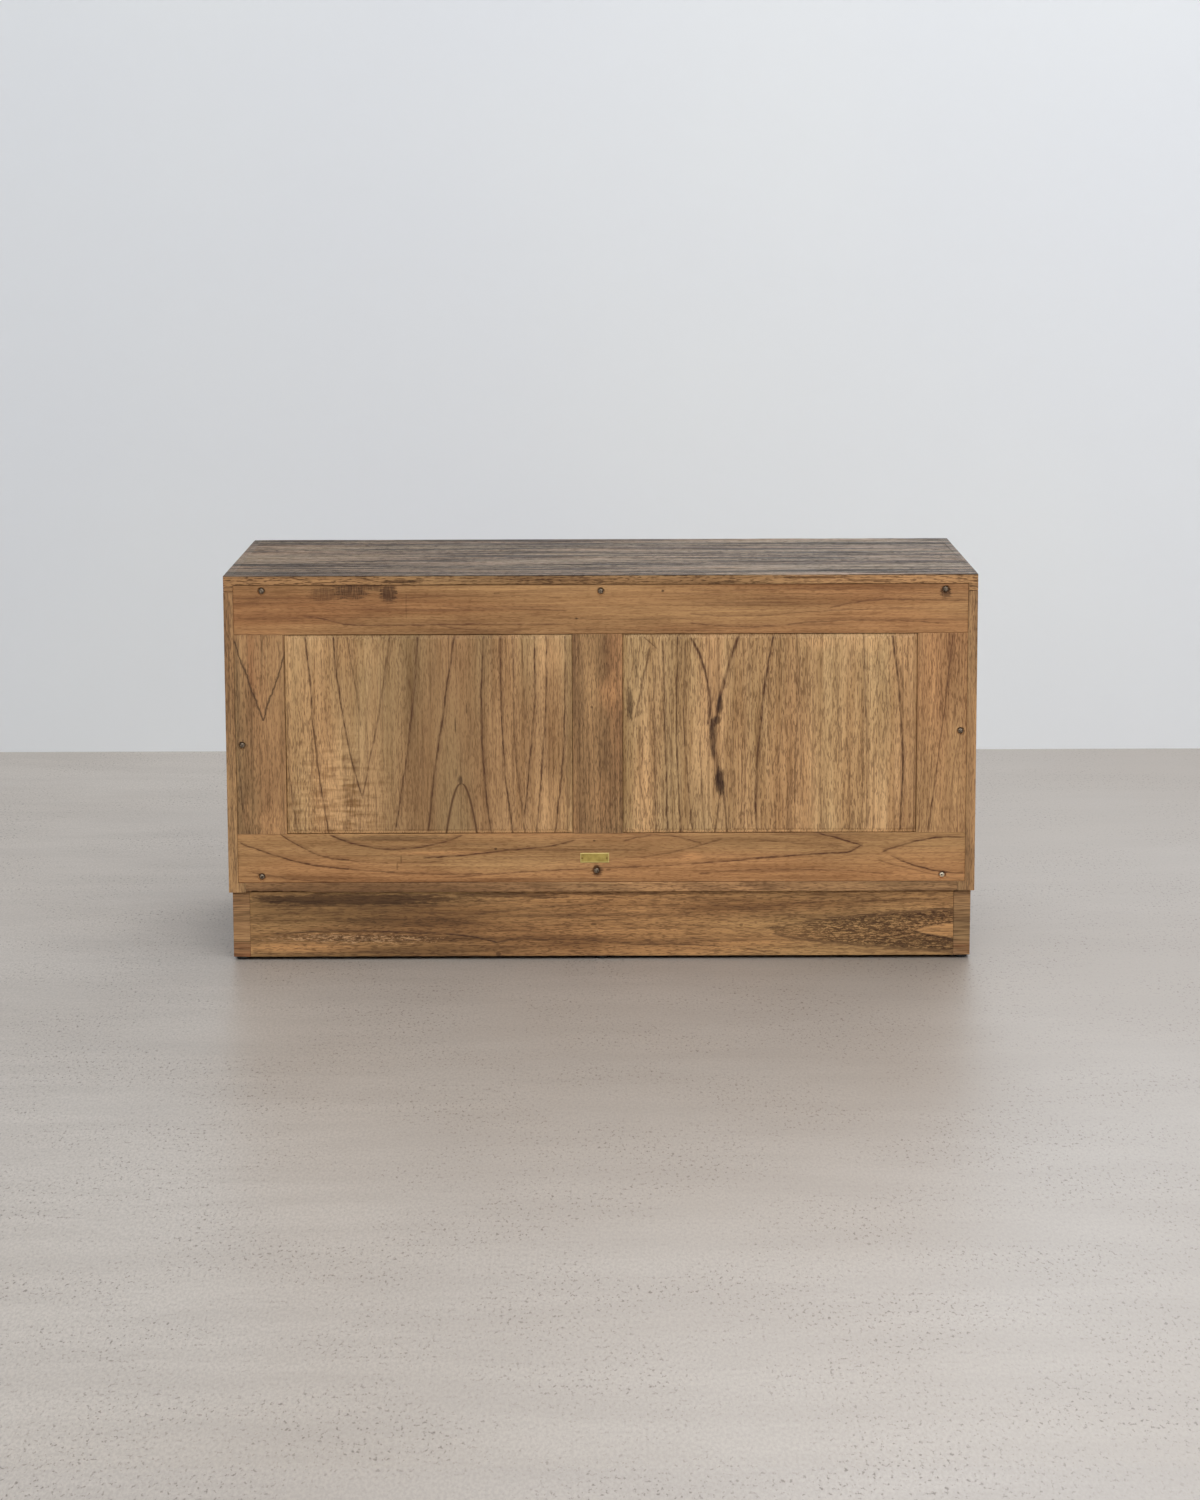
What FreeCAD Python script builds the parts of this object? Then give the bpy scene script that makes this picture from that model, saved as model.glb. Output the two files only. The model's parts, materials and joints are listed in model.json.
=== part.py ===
import FreeCAD, Part
import os
import re
import Sketcher

# A low cabinet of solid boards: a case on a plinth, a framed back, two drawers over two doors.
# Lengths are in millimetres. +Z is up, the doors face -Y and +X is on the right seen from them.
# The origin is on the floor, in the middle of the space that the whole cabinet takes up.

SIZES = {
    # Case
    "width": 1100,
    "depth": 500,
    "case_height": 470,
    "board": 25,
    "lip": 14,
    "housing": 6,
    "dowel_radius": 4,
    "dowel_length": 30,
    # Plinth
    "plinth_height": 98,
    "plinth_inset": 5,
    "plinth_board": 25,
    "block": 45,
    "block_cut": 20,
    "block_height": 60,
    "glide_height": 5,
    "glide_radius": 9,
    "glide_edge": 1,
    "glide_nail": 1.2,
    "glide_nail_length": 12,
    # Frame and panels of the back
    "frame_setback": 1.5,
    "frame_thickness": 18,
    "frame_member": 73,
    "muntin_offset": 5,
    "groove_inset": 5,
    "groove_width": 8,
    "groove_depth": 10,
    "tongue_play": 0.8,
    "panel_gap": 0.6,
    "panel_bevel": 6.5,
    "panel_bevel_drop": 1.6,
    "panel_drop": 0.8,
    # Screws
    "screw_head": 4.2,
    "screw_head_height": 2.6,
    "screw_head_round": 1,
    "screw_shank": 1.75,
    "screw_point": 4,
    "cross_length": 5,
    "cross_width": 1.1,
    "cross_depth": 1.3,
    "counterbore": 6,
    "counterbore_depth": 4,
    "back_screw_length": 32,
    "block_screw_length": 78,
    "screw_inset": 9,
    "centre_screw_top_inset": 10.5,
    "centre_screw_bottom_inset": 16.5,
    # Plate on the back
    "plate_length": 42.5,
    "plate_height": 14.7,
    "plate_thickness": 0.8,
    "plate_offset": 10,
    "plate_pin_inset": 3,
    "plate_pin_head": 1.5,
    "plate_pin_head_height": 0.5,
    "plate_pin_shank": 0.7,
    "plate_pin_length": 7,
    # Front rail and runners
    "drawer_opening": 110,
    "rail_thickness": 22,
    "rail_depth": 60,
    "runner_width": 20,
    # Doors
    "reveal": 2,
    "door_thickness": 20,
    "door_member": 55,
    # Hinges
    "leaf_height": 50,
    "leaf_reach": 16,
    "leaf_play": 0.1,
    "hinge_inset": 35,
    "knuckle_radius": 3,
    "knuckle_gap": 0.5,
    "knuckle_play": 0.3,
    "pin_radius": 1.5,
    "pin_play": 0.05,
    "pin_head": 2.6,
    "pin_head_height": 1.4,
    # Catches
    "magnet_length": 40,
    "magnet_depth": 16,
    "magnet_height": 14,
    "strike_length": 30,
    "strike_thickness": 1,
    "strike_edge": 2,
    "catch_play": 0.3,
    # Knobs
    "knob_reach": 26,
    "knob_radius": 12.5,
    "knob_cap": 9,
    "knob_round": 4,
    "knob_neck": 5,
    "rosette_radius": 9,
    "rosette_thickness": 2.5,
    "stud_radius": 2.5,
    "stud_length": 15,
    # Drawers
    "drawer_rear_gap": 25.5,
    "drawer_front_thickness": 20,
    "drawer_side_thickness": 12,
    "drawer_side_height": 88,
    "drawer_play": 0.8,
    "drawer_lift": 0.3,
    "drawer_socket": 10,
    "drawer_back_inset": 10,
    "drawer_back_drop": 6,
    "drawer_bottom_thickness": 6,
    "drawer_bottom_rise": 8,
    "drawer_groove_depth": 6,
}

PLACES = {
    "front": "(knob_reach - depth) / 2",
    "rear": "front + depth",
    "side_out": "width / 2",
    "side_in": "width / 2 - board",
    "middle": "board / 2",
    "case_low": "glide_height + plinth_height",
    "case_high": "case_low + case_height",
    "room_low": "case_low + board",
    "room_high": "case_high - board",
    "rail_high": "room_high - drawer_opening",
    "rail_low": "rail_high - rail_thickness",
    "frame_side": "side_out - lip",
    "frame_low": "case_low + lip",
    "frame_high": "case_high - lip",
    "frame_rear": "rear - frame_setback",
    "frame_inner": "frame_rear - frame_thickness",
    "back_groove": "frame_inner + groove_inset",
    "opening_low": "frame_low + frame_member",
    "opening_high": "frame_high - frame_member",
    "opening_side": "frame_side - frame_member",
    "muntin_side": "frame_member / 2",
    "tongue": "groove_depth - tongue_play",
    "screw_seat": "frame_rear - counterbore_depth",
    "plinth_side": "side_out - plinth_inset",
    "plinth_front": "front + plinth_inset",
    "plinth_rear": "rear - plinth_inset",
    "block_low": "case_low - block_height",
    "door_low": "room_low + reveal",
    "door_high": "rail_low - reveal",
    "door_near": "middle + reveal",
    "door_far": "side_in - reveal",
    "door_back": "front + door_thickness",
    "catch_middle": "door_near + door_member / 2",
    "door_groove": "front + groove_inset",
    "leaf": "(reveal - leaf_play) / 2",
    "axis_side": "side_in - reveal / 2",
    "axis_front": "front - knuckle_radius - knuckle_gap",
    "low_leaf": "door_low + hinge_inset",
    "high_leaf": "door_high - hinge_inset - leaf_height",
    "drawer_face_low": "rail_high + reveal",
    "drawer_face_high": "room_high - reveal",
    "drawer_low": "rail_high + drawer_lift",
    "drawer_high": "drawer_low + drawer_side_height",
    "drawer_near": "middle + drawer_play",
    "drawer_far": "side_in - drawer_play",
    "drawer_front_back": "front + drawer_front_thickness",
    "drawer_end": "frame_inner - drawer_rear_gap",
    "drawer_groove_low": "drawer_low + drawer_bottom_rise",
    "drawer_groove_high": "drawer_groove_low + drawer_bottom_thickness",
}

# Places along the edges of the back frame and the case, as shares of their length.
TOP_SCREW_SHARES = (-0.938, 0, 0.923)
BOTTOM_SCREW_SHARES = (-0.937, 0.014, 0.935)
SIDE_SCREW_SHARES = (0.507, 0.465)
DOWEL_SHARES = (0.12, 0.46, 0.8)
GLIDE_SHARES = (-1, 0, 1)

# Two radii that differ by less than this are the same one.
TINY = 1e-6

SIDES = ("left", "right")
AXES = {
    "x": FreeCAD.Vector(1, 0, 0),
    "y": FreeCAD.Vector(0, 1, 0),
    "z": FreeCAD.Vector(0, 0, 1),
}

document = FreeCAD.newDocument("Cabinet")
subparts = []


def fill_sheet():
    """Writes each size and its name into the document's sheet."""
    sheet = document.addObject("Spreadsheet::Sheet", "Sizes")
    for row, (name, value) in enumerate(SIZES.items(), 1):
        sheet.set(f"A{row}", name.replace("_", " "))
        sheet.set(f"B{row}", str(value))
        sheet.setAlias(f"B{row}", name)
    document.recompute()


def formula(text):
    """Spells a place out as a formula of the sheet's names."""

    def spelled(match):
        word = match.group(0)
        if word in PLACES:
            return "(" + formula(PLACES[word]) + ")"
        return "Sizes." + word if word in SIZES else word

    return re.sub(r"[a-z][a-z_]+", spelled, str(text))


def bind(item, **formulas):
    """Ties properties of an object to formulas."""
    for name, text in formulas.items():
        item.setExpression(name, formula(text))


def put(item, x, y, z):
    """Ties an object's position to formulas."""
    for corner, text in zip("xyz", (x, y, z)):
        item.setExpression(f"Placement.Base.{corner}", formula(text))


def outward(side, near, far):
    """The range in X between two distances from the middle of the cabinet."""
    if side == "right":
        return near, far
    return f"0 - ({far})", f"0 - ({near})"


def beside(side, distance):
    """The place in X at a distance from the middle of the cabinet."""
    return distance if side == "right" else f"0 - ({distance})"


def box(label, x, y, z):
    """A block between two places in each direction."""
    item = document.addObject("Part::Box", label)
    bind(
        item,
        Length=f"({x[1]}) - ({x[0]})",
        Width=f"({y[1]}) - ({y[0]})",
        Height=f"({z[1]}) - ({z[0]})",
    )
    put(item, x[0], y[0], z[0])
    return item


def rod(label, axis, start, length, radius):
    """A cylinder along one axis."""
    item = document.addObject("Part::Cylinder", label)
    item.Placement.Rotation = FreeCAD.Rotation(AXES["z"], AXES[axis])
    bind(item, Height=length, Radius=radius)
    put(item, *start)
    return item


def cut(base, *tools):
    """Takes each tool out of the base in turn."""
    for tool in tools:
        item = document.addObject("Part::Cut", f"{base.Name}_cut")
        item.Base = base
        item.Tool = tool
        base = item
    return base


def fuse(label, *pieces):
    item = document.addObject("Part::MultiFuse", label)
    item.Shapes = list(pieces)
    return item


def group(label, pieces):
    item = document.addObject("Part::Compound", label)
    item.Links = list(pieces)
    return item


def subpart(label, item):
    """Names a finished piece of the cabinet."""
    item.Label = label
    subparts.append(item)
    return item


def new_body(label):
    return document.addObject("PartDesign::Body", label)


def new_sketch(body, plane):
    """An empty sketch on one of the body's own planes."""
    planes = {feature.Role: feature for feature in body.Origin.OriginFeatures}
    outline = body.newObject("Sketcher::SketchObject", f"{body.Name}_outline")
    outline.AttachmentSupport = [(planes[plane], "")]
    outline.MapMode = "FlatFace"
    return outline


def tie(outline, kind, texts, *places):
    """Adds one driving distance whose value follows a formula."""
    distance = Sketcher.Constraint(kind, *places, number(texts))
    outline.setExpression(f"Constraints[{outline.addConstraint(distance)}]", formula(texts))


def sketch(body, plane, points):
    """A closed outline of straight lines, each corner tied to formulas."""
    outline = new_sketch(body, plane)
    corners = [FreeCAD.Vector(number(x), number(y), 0) for x, y in points]
    count = len(corners)
    for index in range(count):
        line = Part.LineSegment(corners[index], corners[(index + 1) % count])
        outline.addGeometry(line, False)
    for index in range(count):
        meeting = Sketcher.Constraint("Coincident", index, 2, (index + 1) % count, 1)
        outline.addConstraint(meeting)
    for index, (x, y) in enumerate(points):
        tie(outline, "DistanceX", x, -1, 1, index, 1)
        tie(outline, "DistanceY", y, -1, 1, index, 1)
    return outline


def circle_sketch(body, plane, x, y, radius):
    outline = new_sketch(body, plane)
    centre = FreeCAD.Vector(number(x), number(y), 0)
    outline.addGeometry(Part.Circle(centre, AXES["z"], number(radius)), False)
    tie(outline, "DistanceX", x, -1, 1, 0, 3)
    tie(outline, "DistanceY", y, -1, 1, 0, 3)
    tie(outline, "Radius", radius, 0)
    return outline


def number(text):
    """The present value of a formula."""
    cell = document.getObject("Sizes").evalExpression(formula(text).replace("Sizes.", ""))
    return float(cell)


def turned(body, plane, points):
    """Revolves an outline about the upright axis of its sketch."""
    solid = body.newObject("PartDesign::Revolution", f"{body.Name}_turned")
    solid.Profile = sketch(body, plane, points)
    solid.ReferenceAxis = (solid.Profile[0], ["V_Axis"])
    solid.Angle = 360
    document.recompute()
    return solid


def rounded(body, base, radius, ring):
    """Rounds the circular edges of one radius."""
    names = []
    for index, edge in enumerate(base.Shape.Edges, 1):
        circular = edge.Curve.TypeId == "Part::GeomCircle"
        if circular and abs(edge.Curve.Radius - number(ring)) < TINY:
            names.append(f"Edge{index}")
    soft = body.newObject("PartDesign::Fillet", f"{body.Name}_round")
    soft.Base = (base, names)
    bind(soft, Radius=radius)
    return soft


def copies(label, original, places, rotations=None):
    """Places copies of one body, all in one group."""
    links = []
    for index, place in enumerate(places):
        link = document.addObject("App::Link", f"{label}_copy")
        link.LinkedObject = original
        link.LinkTransform = False
        if rotations:
            link.Placement.Rotation = rotations[index]
        put(link, *place)
        links.append(link)
    return group(label, links)


# Case


def case_dowels():
    """Dowels from the sides up into the top, and from the bottom board out into the sides."""
    dowels = []
    for side in SIDES:
        for share in DOWEL_SHARES:
            y = f"front + depth * {share}"
            upright = beside(side, "side_out - board / 2"), y, "room_high - dowel_length / 2"
            level = beside(side, "side_in"), y, "case_low + board / 2"
            level = f"{level[0]} - dowel_length / 2", level[1], level[2]
            dowels.append(rod("upright_dowel", "z", upright, "dowel_length", "dowel_radius"))
            dowels.append(rod("level_dowel", "x", level, "dowel_length", "dowel_radius"))
    return subpart("carcass_dowels", group("carcass_dowels", dowels))


def partition_blank():
    return box(
        "centre_partition_blank",
        ("0 - middle", "middle"),
        ("front", "frame_inner"),
        ("room_low - housing", "room_high + housing"),
    )


def drawer_rail(side):
    return box(
        f"{side}_drawer_rail_blank",
        outward(side, "middle - housing", "side_in + housing"),
        ("front", "front + rail_depth"),
        ("rail_low", "rail_high"),
    )


def case(dowels, screw_spaces, block_screw_spaces):
    """The boards of the case, each housed, rebated and bored for what joins it."""
    across = ("0 - side_out", "side_out")
    deep = ("front", "rear")
    rebate = box(
        "back_rebate",
        ("0 - frame_side", "frame_side"),
        ("frame_inner", "rear"),
        ("frame_low", "frame_high"),
    )
    partition = partition_blank()
    rails = {side: drawer_rail(side) for side in SIDES}
    top = box("top_board_blank", across, deep, ("room_high", "case_high"))
    subpart("top_board", cut(top, rebate, partition, dowels, screw_spaces))
    bottom = box("bottom_board_blank", ("0 - side_in", "side_in"), deep, ("case_low", "room_low"))
    tools = rebate, partition, dowels, screw_spaces, block_screw_spaces
    subpart("bottom_board", cut(bottom, *tools))
    for side in SIDES:
        x = outward(side, "side_in", "side_out")
        board = box(f"{side}_side_blank", x, deep, ("case_low", "room_high"))
        subpart(f"{side}_side", cut(board, rebate, rails[side], dowels, screw_spaces))
        subpart(f"{side}_drawer_rail", rails[side])
    subpart("centre_partition", cut(partition, *rails.values(), screw_spaces))


def drawer_runners(side):
    """Two strips behind the drawer rail that carry the sides of a drawer."""
    y = ("front + rail_depth", "frame_inner")
    z = ("rail_low", "rail_high")
    inner = outward(side, "middle", "middle + runner_width")
    outer = outward(side, "side_in - runner_width", "side_in")
    strips = [box(f"{side}_runner", x, y, z) for x in (inner, outer)]
    subpart(f"{side}_drawer_runners", group(f"{side}_drawer_runners", strips))


# Framed back


def raised_panel(label, x, z, groove, face, facing):
    """A panel with thin edges for the grooves and a bevelled field that fills the opening."""
    plate = box(
        f"{label}_plate",
        (f"{x[0]} - tongue", f"{x[1]} + tongue"),
        (groove, f"{groove} + groove_width"),
        (f"{z[0]} - tongue", f"{z[1]} + tongue"),
    )
    x = (f"{x[0]} + panel_gap", f"{x[1]} - panel_gap")
    z = (f"{z[0]} + panel_gap", f"{z[1]} - panel_gap")
    if facing == "rear":
        rim = f"{face} - panel_bevel_drop"
        field = box(f"{label}_field", x, (f"{groove} + groove_width", rim), z)
        wide, narrow, bevel_start = "", "2", rim
    else:
        rim = f"{face} + panel_bevel_drop"
        field = box(f"{label}_field", x, (rim, groove), z)
        wide, narrow, bevel_start = "2", "", face
    bevel = document.addObject("Part::Wedge", f"{label}_bevel")
    bind(bevel, Ymin="0", Ymax="panel_bevel_drop")
    for letter, (low, high) in (("X", x), ("Z", z)):
        size = f"{high} - ({low})"
        bind(bevel, **{f"{letter}{wide}min": "0", f"{letter}{wide}max": size})
        inset = {f"{letter}{narrow}min": "panel_bevel", f"{letter}{narrow}max": f"{size} - panel_bevel"}
        bind(bevel, **inset)
    put(bevel, x[0], bevel_start, z[0])
    subpart(label, fuse(f"{label}_whole", plate, field, bevel))


def back_rails(screw_spaces):
    """The two rails of the back, grooved along their inner edges."""
    x = ("0 - frame_side", "frame_side")
    y = ("frame_inner", "frame_rear")
    groove_y = ("back_groove", "back_groove + groove_width")
    top = ("opening_high", "frame_high"), ("opening_high", "opening_high + groove_depth")
    bottom = ("frame_low", "opening_low"), ("opening_low - groove_depth", "opening_low")
    for label, (z, groove_z) in (("back_top_rail", top), ("back_bottom_rail", bottom)):
        rail = box(f"{label}_blank", x, y, z)
        groove = box(f"{label}_groove", x, groove_y, groove_z)
        subpart(label, cut(rail, groove, screw_spaces))


def back_upright(label, x, groove_ranges, screw_spaces):
    """A stile or the muntin: tongued into both rails and grooved for the panels."""
    height = ("opening_low", "opening_high")
    tongued = ("opening_low - tongue", "opening_high + tongue")
    groove_y = ("back_groove", "back_groove + groove_width")
    blank = box(f"{label}_blank", x, ("frame_inner", "frame_rear"), height)
    tongues = box(f"{label}_tongues", x, groove_y, tongued)
    whole = fuse(f"{label}_whole", blank, tongues)
    grooves = [box(f"{label}_groove", groove_x, groove_y, tongued) for groove_x in groove_ranges]
    subpart(label, cut(whole, *grooves, screw_spaces))


def framed_back(screw_spaces):
    back_rails(screw_spaces)
    muntin_sides = {"left": "muntin_side - muntin_offset", "right": "muntin_side + muntin_offset"}
    for side in SIDES:
        stile = outward(side, "opening_side", "frame_side")
        groove = outward(side, "opening_side", "opening_side + groove_depth")
        back_upright(f"back_{side}_stile", stile, [groove], screw_spaces)
        opening = outward(side, muntin_sides[side], "opening_side")
        z = ("opening_low", "opening_high")
        face = "frame_rear - panel_drop"
        raised_panel(f"back_{side}_panel", opening, z, "back_groove", face, "rear")
    muntin = ("muntin_offset - muntin_side", "muntin_offset + muntin_side")
    grooves = [outward(side, f"{far} - groove_depth", far) for side, far in muntin_sides.items()]
    back_upright("back_centre_muntin", muntin, grooves, screw_spaces)


# Screws


def screw(label, length):
    """A pan-head screw with a cross recess. Its head sits on the body's own floor plane."""
    body = new_body(label)
    outline = (
        ("0", f"0 - {length}"),
        ("screw_shank", f"screw_point - {length}"),
        ("screw_shank", "0"),
        ("screw_head", "0"),
        ("screw_head", "screw_head_height"),
        ("0", "screw_head_height"),
    )
    whole = turned(body, "XZ_Plane", outline)
    head = rounded(body, whole, "screw_head_round", "screw_head")
    document.recompute()
    slot = body.newObject("PartDesign::Pocket", f"{label}_slot")
    corners = ((-1, -1), (1, -1), (1, 1), (-1, 1))
    outline = [(f"cross_length / 2 * {x}", f"cross_width / 2 * {y}") for x, y in corners]
    slot.Profile = sketch(body, "XY_Plane", outline)
    slot.Profile[0].setExpression("AttachmentOffset.Base.z", formula("screw_head_height"))
    bind(slot, Length="cross_depth")
    cross = body.newObject("PartDesign::PolarPattern", f"{label}_cross")
    cross.Originals = [slot]
    cross.Axis = (slot.Profile[0], ["N_Axis"])
    cross.Angle = 90
    cross.Occurrences = 2
    body.Tip = cross
    document.recompute()
    if not cross.Shape.Volume < slot.Shape.Volume < head.Shape.Volume:
        raise ValueError(f"the cross of {label} cuts nothing")
    return body


def back_screw_places():
    """Where the back is screwed on: into the top, the bottom, the sides and the partition."""
    places = []
    rows = (
        (TOP_SCREW_SHARES, "frame_high - screw_inset", "frame_high - centre_screw_top_inset"),
        (BOTTOM_SCREW_SHARES, "frame_low + screw_inset", "frame_low + centre_screw_bottom_inset"),
    )
    for shares, end_height, middle_height in rows:
        for index, share in enumerate(shares):
            height = middle_height if index == 1 else end_height
            places.append((f"frame_side * {share}", "screw_seat", height))
    for side, share in zip(SIDES, SIDE_SCREW_SHARES):
        height = f"frame_low + (frame_high - frame_low) * {share}"
        places.append((beside(side, "frame_side - screw_inset"), "screw_seat", height))
    return places


def back_screws():
    """The screws of the back, and the spaces that they need."""
    places = back_screw_places()
    upright_to_rear = FreeCAD.Rotation(AXES["z"], AXES["y"])
    original = screw("back_screw", "back_screw_length")
    turns = [upright_to_rear] * len(places)
    subpart("back_screws", copies("back_screws", original, places, turns))
    spaces = []
    for x, y, z in places:
        start = x, f"{y} - back_screw_length", z
        spaces.append(rod("screw_bore", "y", start, "back_screw_length", "screw_shank"))
        spaces.append(rod("screw_counterbore", "y", (x, y, z), "counterbore_depth", "counterbore"))
    return group("screw_spaces", spaces)


# Plate


def nameplate():
    """A bare metal plate and the two pins that hold it."""
    height = "frame_low + frame_member / 2"
    blank = box(
        "nameplate_blank",
        ("plate_offset - plate_length / 2", "plate_offset + plate_length / 2"),
        ("frame_rear", "frame_rear + plate_thickness"),
        (f"{height} - plate_height / 2", f"{height} + plate_height / 2"),
    )
    body = new_body("plate_pin")
    outline = (
        ("0", "0 - plate_pin_length"),
        ("plate_pin_shank", "0 - plate_pin_length"),
        ("plate_pin_shank", "0"),
        ("plate_pin_head", "0"),
        ("plate_pin_shank", "plate_pin_head_height"),
        ("0", "plate_pin_head_height"),
    )
    turned(body, "XY_Plane", outline)
    reach = "(plate_length / 2 - plate_pin_inset)"
    seat = "frame_rear + plate_thickness"
    places = [(f"plate_offset + {reach} * {end}", seat, height) for end in (-1, 1)]
    pins = subpart("nameplate_pins", copies("nameplate_pins", body, places))
    subpart("nameplate", cut(blank, pins))
    return pins


# Plinth


def plinth_block():
    """A glue block for a corner of the plinth, bored for its screw."""
    body = new_body("plinth_block")
    outline = (
        ("0", "0"),
        ("0 - block", "0"),
        ("0 - block", "block_cut - block"),
        ("block_cut - block", "0 - block"),
        ("0", "0 - block"),
    )
    pad = body.newObject("PartDesign::Pad", "block_pad")
    pad.Profile = sketch(body, "XY_Plane", outline)
    bind(pad, Length="block_height")
    document.recompute()
    bore = body.newObject("PartDesign::Pocket", "block_bore")
    bore.Profile = circle_sketch(body, "XY_Plane", "0 - block / 2", "0 - block / 2", "screw_shank")
    bore.Reversed = True
    bind(bore, Length="block_height")
    document.recompute()
    if not bore.Shape.Volume < pad.Shape.Volume:
        raise ValueError("the bore of the plinth block cuts nothing")
    return body


def plinth_fixings():
    """The corner blocks and their screws, and the spaces that the screws need."""
    corners = ("right", "rear"), ("left", "rear"), ("left", "front"), ("right", "front")
    block_places, screw_places, block_turns, spaces = [], [], [], []
    for index, (side, end) in enumerate(corners):
        x = beside(side, "plinth_side - plinth_board")
        y = "plinth_rear - plinth_board" if end == "rear" else "plinth_front + plinth_board"
        block_places.append((x, y, "block_low"))
        block_turns.append(FreeCAD.Rotation(AXES["z"], index * 90))
        screw_x = beside(side, "plinth_side - plinth_board - block / 2")
        screw_y = f"{y} - block / 2" if end == "rear" else f"{y} + block / 2"
        start = screw_x, screw_y, "block_low"
        screw_places.append(start)
        spaces.append(rod("block_screw_bore", "z", start, "block_screw_length", "screw_shank"))
    blocks = copies("plinth_corner_blocks", plinth_block(), block_places, block_turns)
    subpart("plinth_corner_blocks", blocks)
    upside_down = [FreeCAD.Rotation(AXES["x"], 180)] * len(corners)
    original = screw("block_screw", "block_screw_length")
    subpart("plinth_screws", copies("plinth_screws", original, screw_places, upside_down))
    return group("block_screw_spaces", spaces)


def floor_glides():
    """Six nailed glides under the plinth, and the spaces that their nails need."""
    body = new_body("glide")
    outline = (
        ("0", "0"),
        ("glide_radius - glide_edge", "0"),
        ("glide_radius", "glide_edge"),
        ("glide_radius", "glide_height"),
        ("glide_nail", "glide_height"),
        ("glide_nail", "glide_height + glide_nail_length"),
        ("0", "glide_height + glide_nail_length"),
    )
    turned(body, "XZ_Plane", outline)
    places, spaces = [], []
    for share in GLIDE_SHARES:
        x = f"(plinth_side - plinth_board / 2) * {share}"
        for y in ("plinth_front + plinth_board / 2", "plinth_rear - plinth_board / 2"):
            places.append((x, y, "0"))
            start = x, y, "glide_height"
            spaces.append(rod("nail_bore", "z", start, "glide_nail_length", "glide_nail"))
    subpart("floor_glides", copies("floor_glides", body, places))
    return group("nail_spaces", spaces)


def plinth():
    """Four boards on edge. The side boards run from front to back."""
    nails = floor_glides()
    z = ("glide_height", "case_low")
    for side in SIDES:
        x = outward(side, "plinth_side - plinth_board", "plinth_side")
        board = box(f"plinth_{side}_blank", x, ("plinth_front", "plinth_rear"), z)
        subpart(f"plinth_{side}", cut(board, nails))
    between = ("plinth_board - plinth_side", "plinth_side - plinth_board")
    rows = (
        ("plinth_front", ("plinth_front", "plinth_front + plinth_board")),
        ("plinth_back", ("plinth_rear - plinth_board", "plinth_rear")),
    )
    for label, y in rows:
        subpart(label, cut(box(f"{label}_blank", between, y, z), nails))


# Hinges


def hinge_leaf(label, side, x, low, knuckles, bore):
    """One leaf: a plate beside the door's edge and knuckles that reach forward to the axis."""
    high = f"{low} + leaf_height"
    leaf_x = outward(side, *x)
    plate = box(f"{label}_plate", leaf_x, ("front", "front + leaf_reach"), (low, high))
    pieces = [plate]
    for first, last in knuckles:
        bottom = f"{low} + {first}"
        top = f"{low} + {last}"
        pieces.append(box(f"{label}_arm", leaf_x, ("axis_front", "front"), (bottom, top)))
        start = beside(side, "axis_side"), "axis_front", bottom
        pieces.append(rod(f"{label}_knuckle", "z", start, f"{top} - ({bottom})", "knuckle_radius"))
    start = beside(side, "axis_side"), "axis_front", low
    space = rod(f"{label}_bore", "z", start, "leaf_height", bore)
    return cut(fuse(f"{label}_whole", *pieces), space)


def hinge_pin():
    body = new_body("hinge_pin")
    head_top = "pin_head_height * 2 + leaf_height"
    outline = (
        ("0", "0"),
        ("pin_head", "0"),
        ("pin_head", "pin_head_height"),
        ("pin_radius", "pin_head_height"),
        ("pin_radius", "pin_head_height + leaf_height"),
        ("pin_head", "pin_head_height + leaf_height"),
        ("pin_head", head_top),
        ("0", head_top),
    )
    turned(body, "XZ_Plane", outline)
    return body


def hinges():
    """Two hinges a door. The leaves on the case have two knuckles, those on the doors one."""
    third = "leaf_height / 3"
    play = "knuckle_play / 2"
    case_knuckles = ("0", f"{third} - {play}"), (f"{third} * 2 + {play}", "leaf_height")
    door_knuckles = ((f"{third} + {play}", f"{third} * 2 - {play}"),)
    case_x = ("side_in - leaf", "side_in")
    door_x = ("door_far", "door_far + leaf")
    loose = "pin_radius + pin_play"
    case_leaves, pin_places = [], []
    for side in SIDES:
        door_leaves = []
        for low in ("low_leaf", "high_leaf"):
            label = f"case_{side}_{low}"
            case_leaves.append(hinge_leaf(label, side, case_x, low, case_knuckles, "pin_radius"))
            label = f"door_{side}_{low}"
            door_leaves.append(hinge_leaf(label, side, door_x, low, door_knuckles, loose))
            pin_places.append((beside(side, "axis_side"), "axis_front", f"{low} - pin_head_height"))
        subpart(f"{side}_door_hinge_leaves", group(f"{side}_door_leaves", door_leaves))
    subpart("hinge_case_leaves", group("case_leaves", case_leaves))
    subpart("hinge_pins", copies("hinge_pins", hinge_pin(), pin_places))


# Knobs and catches


def knob(label, x, z):
    """A turned knob on a threaded stud, and the bore that the stud needs."""
    body = new_body(label)
    rear = "knob_reach + stud_length"
    outline = (
        ("0", "0"),
        ("knob_radius", "0"),
        ("knob_radius", "knob_cap"),
        ("knob_neck", "knob_cap"),
        ("knob_neck", "knob_reach - rosette_thickness"),
        ("rosette_radius", "knob_reach - rosette_thickness"),
        ("rosette_radius", "knob_reach"),
        ("stud_radius", "knob_reach"),
        ("stud_radius", rear),
        ("0", rear),
    )
    whole = turned(body, "XY_Plane", outline)
    rounded(body, whole, "knob_round", "knob_radius")
    put(body, x, "front - knob_reach", z)
    subpart(label, body)
    return rod(f"{label}_bore", "y", (x, "front", z), "stud_length", "stud_radius")


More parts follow.
